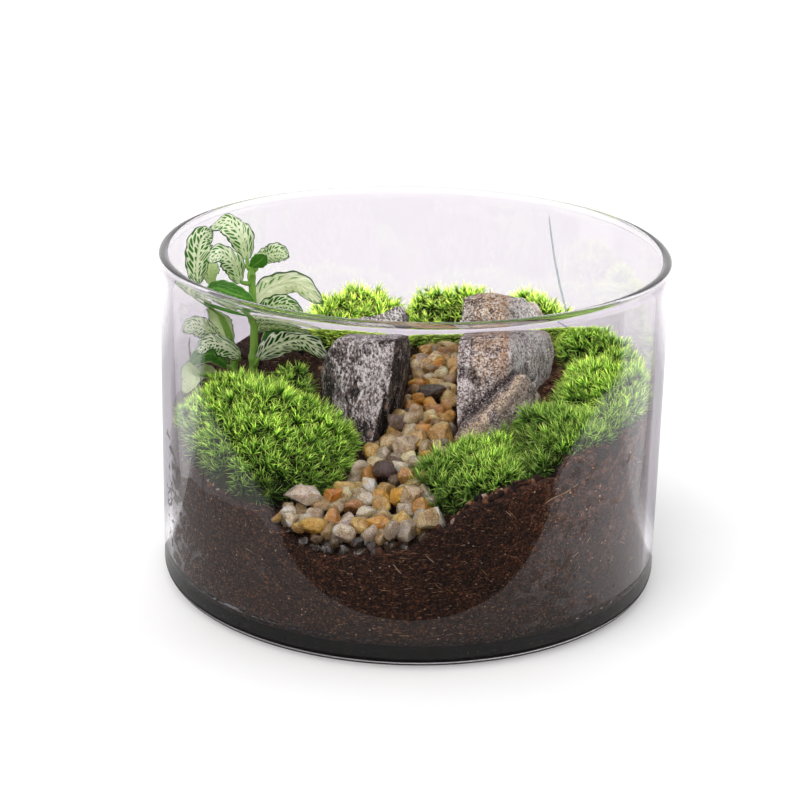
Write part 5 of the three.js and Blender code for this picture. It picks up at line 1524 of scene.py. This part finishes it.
def sweep(points, radii, sides=20, caps=True, squash=1.0):
    """A closed tube along points; radii one for each point."""
    P = np.asarray(points, float)
    T = norm(np.gradient(P, axis=0))
    ref = np.array([0.0, 1.0, 0.0]) if abs(T[0][1]) < 0.8 else np.array([1.0, 0, 0])
    rings = []
    a = np.linspace(0, 2 * math.pi, sides, endpoint=False)
    u = norm(np.cross(T[0], ref))
    for p, t, r in zip(P, T, radii):
        u = norm(u - t * (u @ t))
        w = np.cross(t, u)
        rings.append(p + r * (np.cos(a)[:, None] * u + squash * np.sin(a)[:, None] * w))
    verts = np.vstack(rings + [P[:1], P[-1:]])
    m = len(P)
    quads = grid_faces(m, sides, wrap=True)
    i = np.arange(sides)
    k = m * sides
    f = [quads, np.stack([np.full(sides, k), (i + 1) % sides, i], -1), np.stack([np.full(sides, k + 1), (m - 1) * sides + i, (m - 1) * sides + (i + 1) % sides], -1)]
    if volume(verts, f) < 0:
        f = [q[:, ::-1] for q in f]
    return verts, f


def stems():
    for name, (pts, r) in STEMS.items():
        n = 90
        P = np.array([catmull(pts, i / (n - 1)) for i in range(n)])
        t = np.linspace(0, 1, n)
        radii = r * (1.18 - 0.34 * t)
        # swollen joints where the leaves leave
        for z in ([60, 72.5, 85.2] if name == "plant_stem_main" else [62, 77] if name == "plant_stem_left" else [57.5]):
            radii = radii * (1 + 0.28 * np.exp(-(((P[:, 2] - z) / 1.2) ** 2)))
        radii[-1] *= 0.4
        radii[-2] *= 0.8
        v, f = sweep(P, radii, 20)
        ob = make_mesh(name + "_skin", v, f, materials=[M_STEM])
        place(ob, "green_stem", name)


LEAVES = [
    ("leaf_top", "plant_stem_main", 86.6, [[-51.2, 20.0, 90.3], [-52.9, 19.0, 97.8], [-57.3, 21.0, 101.5], [-62.9, 25.0, 98.7]], [[0.94, 0.28, 0.19], [0.83, 0.44, 0.35], [0.19, 0.86, 0.48], [-0.19, 0.94, 0.29]], 3.85, 1),
    ("leaf_tall_left", "plant_stem_left", 79.2, [[-65.4, 11.9, 84.4], [-65.4, 12.0, 91.9], [-64.0, 14.0, 98.3], [-61.2, 17.0, 99.7]], [[0.95, 0.29, -0.08], [0.95, 0.25, -0.2], [0.85, 0.13, -0.52], [0.56, 0.02, -0.83]], 3.63, 0),
    ("leaf_arch_centre", "plant_stem_main", 83.2, [[-52.7, 16.0, 84.2], [-54.4, 11.0, 91.2], [-58.3, 8.0, 95.1], [-62.0, 6.0, 93.1]], [[0.81, 0.57, 0.15], [0.69, 0.64, 0.35], [0.04, 0.81, 0.59], [-0.45, 0.76, 0.46]], 3.5, 1),
    ("leaf_small_right", "plant_stem_main", 86.2, [[-47.6, 20.0, 91.0], [-44.8, 20.0, 91.7], [-41.5, 20.0, 92.4], [-38.4, 19.0, 91.5]], [[0.14, 0.54, -0.83], [0.18, 0.26, -0.95], [-0.07, -0.04, -1.0], [-0.34, -0.12, -0.93]], 2.9, 1),
    ("leaf_node_front", "plant_stem_main", 85.2, [[-49.5, 17.0, 88.4], [-47.7, 14.0, 90.8], [-46.0, 11.0, 93.0], [-44.6, 8.0, 94.8]], [[0.59, 0.34, -0.73], [0.6, 0.24, -0.76], [0.55, 0.23, -0.8], [0.54, 0.22, -0.81]], 2.19, 0),
    ("leaf_mid_dark", "plant_stem_left", 78.0, [[-63.7, 19.0, 80.1], [-61.2, 18.0, 81.4], [-54.6, 13.0, 81.2], [-48.6, 9.0, 80.7]], [[0.12, -0.74, -0.66], [-0.07, -0.75, -0.66], [-0.24, -0.74, -0.63], [-0.25, -0.67, -0.7]], 3.23, 0),
    ("leaf_right_big", "plant_stem_main", 74.5, [[-48.7, 22.0, 75.1], [-43.9, 24.0, 79.8], [-36.2, 25.0, 80.9], [-28.1, 24.0, 75.3]], [[0.66, 0.16, -0.73], [0.38, 0.29, -0.88], [-0.18, 0.45, -0.87], [-0.44, 0.39, -0.81]], 4.36, 1),
    ("leaf_right_mid", "plant_stem_main", 72.2, [[-47.3, 16.0, 73.1], [-43.2, 14.0, 77.1], [-38.6, 13.0, 77.8], [-33.7, 13.0, 75.1]], [[0.43, 0.5, -0.75], [0.29, 0.37, -0.88], [-0.18, 0.36, -0.92], [-0.36, 0.38, -0.85]], 3.39, 0),
    ("leaf_right_low", "plant_stem_main", 57.6, [[-47.5, 14.0, 60.6], [-40.8, 11.0, 66.3], [-33.8, 10.0, 68.1], [-26.2, 11.0, 62.1]], [[0.5, 0.21, -0.84], [0.33, 0.28, -0.9], [-0.2, 0.36, -0.91], [-0.5, 0.21, -0.84]], 4.15, 0),
    ("leaf_right_back", "plant_stem_main", 65.0, [[-49.5, 24.0, 66.4], [-44.7, 27.0, 68.5], [-38.7, 30.0, 68.0], [-31.9, 32.0, 64.9]], [[0.35, 0.48, -0.81], [0.18, 0.54, -0.82], [-0.09, 0.53, -0.84], [-0.23, 0.45, -0.86]], 3.94, 0),
    ("leaf_left_pale", "plant_stem_left", 64.5, [[-59.1, 11.0, 66.5], [-62.9, 7.0, 71.8], [-66.4, 3.0, 74.2], [-69.0, -1.0, 73.5]], [[0.65, 0.44, 0.62], [0.46, 0.56, 0.69], [-0.09, 0.67, 0.73], [-0.37, 0.72, 0.59]], 2.86, 1),
    ("leaf_left_low", "plant_stem_low", 61.0, [[-52.8, 8.0, 63.1], [-57.4, 2.0, 68.8], [-61.7, -2.0, 70.3], [-64.1, -5.0, 68.1]], [[0.42, 0.82, 0.38], [0.24, 0.9, 0.37], [-0.23, 0.93, 0.28], [-0.53, 0.83, 0.19]], 3.6, 0),
    ("leaf_low_dark", "plant_stem_low", 58.2, [[-56.5, 12.0, 58.5], [-61.2, 10.0, 63.2], [-65.3, 6.0, 63.5], [-68.3, 2.0, 61.6]], [[0.5, 0.75, 0.42], [0.21, 0.85, 0.47], [-0.36, 0.83, 0.42], [-0.61, 0.66, 0.44]], 2.74, 0),
    ("leaf_hang_pale", "plant_stem_low", 56.6, [[-64.3, 1.0, 59.5], [-66.4, -3.0, 62.0], [-66.1, -6.8, 60.5], [-68.0, -9.0, 56.8]], [[0.38, 0.49, 0.78], [-0.33, 0.5, 0.8], [-0.95, 0.27, 0.18], [-0.96, 0.29, -0.05]], 2.88, 1),
    ("leaf_low_small", "plant_stem_low", 55.2, [[-59.8, 11.0, 55.5], [-62.4, 10.0, 57.7], [-64.6, 7.0, 57.7], [-66.0, 6.0, 55.4]], [[0.47, 0.7, 0.54], [0.13, 0.74, 0.66], [-0.59, 0.67, 0.46], [-0.79, 0.52, 0.31]], 2.15, 0),
    ("leaf_back_grey", "plant_stem_left", 60.5, [[-56.5, 22.0, 61.6], [-60.0, 24.0, 67.4], [-61.7, 24.8, 71.5], [-64.6, 24.2, 74.0]], [[0.85, -0.02, 0.53], [0.77, 0.02, 0.63], [0.56, -0.02, 0.83], [0.43, 0.01, 0.9]], 3.34, 0),
    ("leaf_rear_right", "plant_stem_main", 58.5, [[-47.3, 28.0, 59.9], [-44.6, 34.0, 62.0], [-40.4, 38.0, 61.8], [-36.7, 40.0, 58.2]], [[0.64, 0.36, -0.67], [0.45, 0.3, -0.84], [-0.17, 0.26, -0.95], [-0.48, 0.3, -0.82]], 2.78, 0),
    ("leaf_rear_left", "plant_stem_left", 77.5, [[-62.3, 23.3, 80.8], [-62.5, 22.8, 84.0], [-62.3, 23.4, 86.9], [-64.2, 25.4, 89.8]], [[0.81, 0.45, 0.38], [0.88, 0.41, 0.25], [0.95, 0.26, -0.17], [0.89, 0.17, -0.42]], 2.2, 0),
]


LEAF_FACE = {
    "leaf_right_big": M_LEAF_R, "leaf_right_low": M_LEAF_W, "leaf_hang_pale": M_LEAF_S, "leaf_low_small": M_LEAF_S, "leaf_back_grey": M_LEAF_S, "leaf_rear_left": M_LEAF_S,
    "leaf_low_dark": M_LEAF_D, "leaf_mid_dark": M_LEAF_D, "leaf_node_front": M_LEAF_D, "leaf_rear_right": M_LEAF_D,
}


LEAF_BACK = {"leaf_right_big": M_LEAF_R}


def leaf(name, stem, height, mid, across, half, pale, rng):
    half = half * 1.12
    pts, stem_r = STEMS[stem]
    line = np.array([catmull(pts, i / 200) for i in range(201)])
    at = line[np.abs(line[:, 2] - height).argmin()]
    mid = [np.array(p, float) for p in mid]
    to = mid[0] - at
    to[2] *= 0.4
    to = norm(to)
    start = at + to * (stem_r + 0.75)
    if np.linalg.norm(mid[0] - start) < 1.5:
        mid[0] = start * 0.88 + mid[1] * 0.12
    pts = [start] + mid
    A = [np.array(a, float) for a in across]
    chord = norm(pts[-1] - pts[1])
    if np.cross(chord, A[1]) @ norm(np.array([0.0, -604.0, 269.0]) - pts[2]) < 0:
        A = [-a for a in A]

    def at_u(u):
        return catmull(pts, u)

    def frame_at(u):
        c = at_u(u)
        e = 1e-3
        t = norm(at_u(min(1, u + e)) - at_u(max(0, u - e)))
        tt = max(0.0, (u - 0.25) / 0.75)
        k = min(2, int(tt * 3))
        f = tt * 3 - k
        s = A[k] * (1 - f) + A[k + 1] * f
        s = norm(s - t * (s @ t))
        return c, t, s, norm(np.cross(t, s))

    # blade
    rows, cols = 44, 21
    us = np.linspace(-1, 1, cols)
    us = np.sign(us) * np.abs(us) ** 0.9
    top, uv = [], []
    phase = rng.uniform(0, 6, 4)
    amp = half / 4.0
    for i in range(rows):
        t = i / (rows - 1)
        c, tg, s, up = frame_at(0.25 + 0.75 * t)
        w = half * math.sin(math.pi * (0.03 + 0.95 * t) ** 0.95) ** 0.62
        w = max(w, 0.55) if t < 0.5 else max(w, 0.12)
        if t > 0.93:
            w *= max(0.08, 1 - ((t - 0.93) / 0.075) ** 2 * 0.92)
        # the margin is scalloped and ruffled, differently on each side
        for j, u in enumerate(us):
            sidep = phase[0] if u < 0 else phase[1]
            au = abs(u)
            scallop = 1 + 0.05 * math.sin(40 * t + sidep) * au ** 3
            ruffle = amp * 0.55 * au ** 3 * math.sin(13 * t + (phase[2] if u < 0 else phase[3])) * min(1, 4 * t) * min(1, 5 * (1 - t) + 0.2)
            droop = -0.14 * w * au ** 1.4
            groove = -0.16 * amp * math.exp(-((u / 0.09) ** 2))
            # quilting between the side veins
            lat = (t - 0.2 * au ** 1.2) * 7.2
            quilt = 0.2 * amp * abs(math.sin(math.pi * lat)) * (1 - au ** 6) * min(1, au * 5)
            top.append(c + s * (u * w * scallop) + up * (droop + ruffle + groove + quilt))
            uv.append((u, t))
    top = np.array(top)
    grid = top.reshape(rows, cols, 3)
    gu = np.gradient(grid, axis=0)
    gv = np.gradient(grid, axis=1)
    n = norm(np.cross(gu, gv)).reshape(-1, 3)
    thick = np.full(rows * cols, 0.34)
    bottom = top - n * thick[:, None]
    if np.einsum("ij,ij->i", n, np.repeat([frame_at(0.6)[3]], len(n), 0)).mean() < 0:
        bottom = top + n * thick[:, None]
    quads = grid_faces(rows, cols)
    k = rows * cols
    under = quads[:, ::-1] + k
    ring = np.concatenate([np.arange(cols), np.arange(1, rows) * cols + cols - 1, (rows - 1) * cols + np.arange(cols - 2, -1, -1), np.arange(rows - 2, 0, -1) * cols])
    nxt = np.roll(ring, -1)
    edge = np.stack([ring, ring + k, nxt + k, nxt], -1)
    verts = np.vstack([top, bottom])
    if volume(verts, [quads, under, edge]) < 0:
        quads, under, edge = quads[:, ::-1], under[:, ::-1], edge[:, ::-1]
    uv = uv + uv
    # stalk: from inside the stem's skin to the foot of the blade
    m = 16
    sp = [at + to * (stem_r * 0.4)] + [at_u(0.29 * i / (m - 2)) for i in range(m - 1)]
    sp = np.array(sp)
    sr = np.linspace(0.78, 0.5, m)
    sr[-3:] *= [0.9, 0.7, 0.4]
    up_here = frame_at(0.3)[3]
    lower = np.linspace(0, 1, m) ** 3
    sp = sp - up_here * (0.3 * lower)[:, None]
    sv, sf = sweep(sp, sr, 12)
    base = len(verts)
    verts = np.vstack([verts, sv])
    uv = uv + [(0.0, 0.02)] * len(sv)
    faces = [quads, under, edge] + [f + base for f in sf]
    ob = make_mesh(name + "_blade", verts, faces, uv=np.array(uv), materials=[LEAF_FACE.get(name, M_LEAF_P if pale else M_LEAF), LEAF_BACK.get(name, M_LEAF_B), M_STEM])
    index = np.concatenate([np.zeros(len(quads)), np.ones(len(under)), np.zeros(len(edge)), np.full(sum(len(f) for f in sf), 2)]).astype(np.int32)
    if len(ob.data.polygons) == len(index):
        ob.data.polygons.foreach_set("material_index", index)
    place(ob, "variegated_leaf", name)


def leaves():
    for i, row in enumerate(LEAVES):
        leaf(*row, np.random.default_rng(500 + i))


# ================================================================== MOSS
def poisson(v, t, rng, spacing, min_nz):
    """Points spread over the upward faces of a mesh, with normals."""
    a, b, c = v[t[:, 0]], v[t[:, 1]], v[t[:, 2]]
    cr = np.cross(b - a, c - a)
    area = np.linalg.norm(cr, axis=1) / 2
    fn = norm(cr)
    vn = np.zeros_like(v)
    for k in range(3):
        np.add.at(vn, t[:, k], cr)
    vn = norm(vn)
    ok = (fn[:, 2] > min_nz) & (area > 1e-6)
    idx = np.where(ok)[0]
    w = area[idx] / area[idx].sum()
    count = int(area[idx].sum() / (spacing ** 2) * 9)
    pick = rng.choice(idx, count, p=w)
    r1, r2 = np.sqrt(rng.random(count)), rng.random(count)
    bary = np.stack([1 - r1, r1 * (1 - r2), r1 * r2], -1)
    p = bary[:, :1] * a[pick] + bary[:, 1:2] * b[pick] + bary[:, 2:] * c[pick]
    n = norm(bary[:, :1] * vn[t[pick, 0]] + bary[:, 1:2] * vn[t[pick, 1]] + bary[:, 2:] * vn[t[pick, 2]])
    cells = {}
    keep = []
    for i in range(count):
        key = tuple((p[i] // spacing).astype(int))
        clash = False
        for dx in (-1, 0, 1):
            for dy in (-1, 0, 1):
                for dz in (-1, 0, 1):
                    for j in cells.get((key[0] + dx, key[1] + dy, key[2] + dz), ()):
                        if ((p[i] - p[j]) ** 2).sum() < spacing ** 2:
                            clash = True
                            break
                    if clash:
                        break
                if clash:
                    break
            if clash:
                break
        if not clash:
            cells.setdefault(key, []).append(i)
            keep.append(i)
    keep = np.array(keep)
    return p[keep], n[keep]


def tufts(base, axis, rng, needles, length, width=0.17, height=2.6, spread=(12, 72), shade=None):
    """Star tufts: needles leaving a short shoot all round, steep at its top and spreading below."""
    n = len(base)
    k = needles
    i = np.arange(k)
    golden = math.pi * (3 - math.sqrt(5))
    phi = golden * i[None, :] + rng.uniform(0, 2 * math.pi, (n, 1)) + rng.normal(0, 0.25, (n, k))
    level = (i / (k - 1))[None, :] + rng.normal(0, 0.06, (n, k))  # 0 low, 1 top
    level = np.clip(level, 0, 1)
    theta = np.radians(spread[1] + (spread[0] - spread[1]) * level + rng.normal(0, 8, (n, k)))
    L = length * (1.0 - 0.15 * level) * rng.uniform(0.72, 1.15, (n, k)) * rng.uniform(0.85, 1.15, (n, 1))
    ref = np.where(np.abs(axis[:, 2:3]) > 0.9, np.array([[1.0, 0, 0]]), np.array([[0, 0, 1.0]]))
    e1 = norm(np.cross(axis, ref))
    e2 = np.cross(axis, e1)
    out = np.cos(phi)[..., None] * e1[:, None, :] + np.sin(phi)[..., None] * e2[:, None, :]
    ax = axis[:, None, :]
    curl = np.radians(rng.normal(6, 9, (n, k)))
    d0 = np.cos(theta - curl)[..., None] * ax + np.sin(theta - curl)[..., None] * out
    d1 = np.cos(theta + curl)[..., None] * ax + np.sin(theta + curl)[..., None] * out
    side = norm(np.cross(d0, ax) + 1e-6)
    flat = norm(np.cross(side, d0))
    p0 = base[:, None, :] + ax * (height * level)[..., None]
    p1 = p0 + d0 * (0.5 * L)[..., None]
    p2 = p1 + d1 * (0.5 * L)[..., None]
    w = width * rng.uniform(0.8, 1.2, (n, k))
    tri = [(0.0, 1.0), (0.87, -0.5), (-0.87, -0.5)]
    verts = []
    for p, s in ((p0, 0.85), (p1, 1.0)):
        for sx, sy in tri:
            verts.append(p + side * (sx * s * w)[..., None] + flat * (sy * s * w * 0.7)[..., None])
    verts.append(p2)
    V = np.stack(verts, 2).reshape(-1, 3)  # n*k needles of 7 points
    m = n * k
    o = (np.arange(m) * 7)[:, None]
    f = np.array([[0, 1, 4, 3], [1, 2, 5, 4], [2, 0, 3, 5]])
    quads = (o[:, None, :] + f[None]).reshape(-1, 4)
    t = np.array([[3, 4, 6], [4, 5, 6], [5, 3, 6], [0, 2, 1]])
    tris = (o[:, None, :] + t[None]).reshape(-1, 3)
    tone = rng.uniform(0, 1, (n, 1)) * np.ones((1, k))
    if shade is not None:
        tone = np.clip(tone * 0.35 + shade[:, None] * 0.65, 0, 1)
    each = rng.uniform(0, 1, (n, k))
    # each needle is painted dark at its base and on the low needles of a tuft (painted shade), and pale to its tip
    painted_light_by_level = 0.1 + 0.2 * level
    C = np.zeros((m, 7, 3))
    C[:, :3, 0] = np.clip(painted_light_by_level - 0.1, 0, 1).reshape(-1, 1)
    C[:, 3:6, 0] = np.clip(painted_light_by_level + 0.35, 0, 1).reshape(-1, 1)
    C[:, 6, 0] = np.clip(painted_light_by_level + 0.68, 0, 1).reshape(-1)
    C[..., 1] = tone.reshape(-1, 1)
    C[..., 2] = each.reshape(-1, 1)
    return V, quads, tris, C.reshape(-1, 3)


def moss(node, seed, spacing, needles, length, tone=0.0, sink=2.0, width=0.15, min_nz=0.05, up=0.25):
    rng = np.random.default_rng(seed)
    v, t = weld(*node_mesh(node))
    p, n = poisson(v, t, rng, spacing, min_nz)
    thinned_and_shaded_border = np.zeros(len(p))
    if node == "moss_front_left":
        # towards the glass at its lower left the cushion thins out, and the shoots that stay there are painted darker:
        # painted shade
        turn = np.degrees(np.arctan2(p[:, 1], p[:, 0])) % 360
        line = np.interp(turn, [180, 205, 232, 238, 243, 250], [48.5, 50, 47.5, 44, 41, 35])
        thinned_and_shaded_border = np.clip((line - p[:, 2]) / 4.0, 0, 1) * np.clip((np.hypot(p[:, 0], p[:, 1]) - 54) / 8, 0, 1)
        stay = rng.random(len(p)) > 0.8 * thinned_and_shaded_border
        p, n, thinned_and_shaded_border = p[stay], n[stay], thinned_and_shaded_border[stay]
    p = p + rng.normal(0, 0.3, p.shape)
    bumps = fbm(np.c_[p[:, :2] / 4.5, np.full(len(p), seed)], 2)
    axis = norm(n + np.array([0, 0, up]) + rng.normal(0, 0.26, n.shape))
    base = p - axis * (sink + 0.9)[..., None] if np.ndim(sink) else p - axis * (sink + 0.9)
    base = base + axis * (1.2 * bumps + rng.uniform(-0.9, 0.9, len(p)))[:, None]
    r = np.hypot(base[:, 0], base[:, 1])
    k = np.where(r > 69.3, 69.3 / r, 1.0)
    base[:, :2] *= k[:, None]
    high = (p[:, 2] - p[:, 2].min()) / max(1e-6, np.ptp(p[:, 2]))
    # tufts that stand high and face up are painted lighter and low ones darker, as painted light and shade; tone moves
    # the whole cushion
    shade = np.clip(0.1 + 1.0 * high ** 0.8 + 0.3 * bumps + 0.25 * (n[:, 2] - 0.6) + tone, 0, 1) * (1 - 0.9 * thinned_and_shaded_border)
    V, Q, T, C = tufts(base, axis, rng, needles, length, width, height=1.5, spread=(5, 78), shade=shade)
    over = np.hypot(V[:, 0], V[:, 1])
    kk = np.where(over > 72.1, 72.1 / over, 1.0)
    V[:, :2] *= kk[:, None]
    # the mat under the needles, painted very dark: partly the moss's own dark green, partly painted shade
    me = bpy.data.meshes.new("tmp")
    tmp = make_mesh("tmp_" + node, v - np.array([0, 0, 1.9]), t)
    mod = tmp.modifiers.new("fine", "REMESH")
    mod.mode = "VOXEL"
    mod.voxel_size = 1.0 * MM
    apply_modifiers(tmp)
    mv, mn = get_verts(tmp.data), get_normals(tmp.data)
    mv = mv + mn * (0.5 * fbm(mv / 1.8 + seed, 2) - 0.25)[:, None]
    over = np.hypot(mv[:, 0], mv[:, 1])
    kk = np.where(over > 71.6, 71.6 / over, 1.0)
    mv[:, :2] *= kk[:, None]
    tmp.data.calc_loop_triangles()
    mt = np.empty(len(tmp.data.loop_triangles) * 3, np.int32)
    tmp.data.loop_triangles.foreach_get("vertices", mt)
    mt = mt.reshape(-1, 3) + len(V)
    bpy.data.objects.remove(tmp)
    bpy.data.meshes.remove(me)
    allv = np.vstack([V, mv])
    col = np.vstack([C, np.zeros((len(mv), 3))])
    ob = make_mesh(node + "_cushion", allv, [Q, T, mt], colour=col, materials=[M_MOSS_PAINTED_LIGHTER if node.startswith("moss_back") else M_MOSS_F, M_MOSS_BASE])
    idx = np.concatenate([np.zeros(len(Q) + len(T)), np.ones(len(mt))]).astype(np.int32)
    if len(idx) == len(ob.data.polygons):
        ob.data.polygons.foreach_set("material_index", idx)
    place(ob, "green_moss", node)
    return len(p), len(Q) * 2 + len(T) + len(mt)


# ================================================================== BUILD
glass_bowl()
soil_body()
stone("slate_stone", "stone_dark", "dark_stone", M_DARK, 0.5, 3, 22, 1.0, (1.0, 1.0, 0.5), (-0.78, -0.15, 0.5), slate_zones)
stone("ridge_stone", "stone_brown", "brown_stone", M_BROWN, 0.53, 8, 26, 1.0, (1.0, 1.0, 0.6), (0.7, 0.1, -0.7), ridge_zones)
stone("flake_stone", "stone_flake", "brown_stone", M_FLAKE, 0.5, 5, 10, 0.7, (1.0, 1.0, 0.8), (0.7, 0.2, 0.6), flake_zones)
pebbles()
gravel()
stems()
leaves()
soil_crumbs()
soil_fibres()
total = 0
# tone: the back cushions are painted lighter and the front right ones darker, as painted light and shade
for node, seed, spacing, needles, length, tone in (
    ("moss_front_left", 21, 2.42, 31, 5.4, 0.0), ("moss_tuft_left", 22, 2.6, 24, 4.9, -0.1), ("moss_back_left", 23, 2.42, 28, 5.1, 0.75),
    ("moss_back_middle", 24, 2.42, 28, 5.1, 0.75), ("moss_back_right", 25, 2.42, 28, 5.1, 0.75), ("moss_right_back", 26, 2.42, 28, 5.1, 0.2),
    ("moss_right", 27, 2.42, 32, 5.3, 0.05), ("moss_front_right", 28, 2.42, 31, 5.4, -0.52), ("moss_front_middle", 29, 2.42, 31, 5.4, -0.45),
):
    count, tris = moss(node, seed, spacing, needles, length, tone)
    total += tris
    print(node, count, "tufts", tris, "triangles")
print("moss triangles", total)
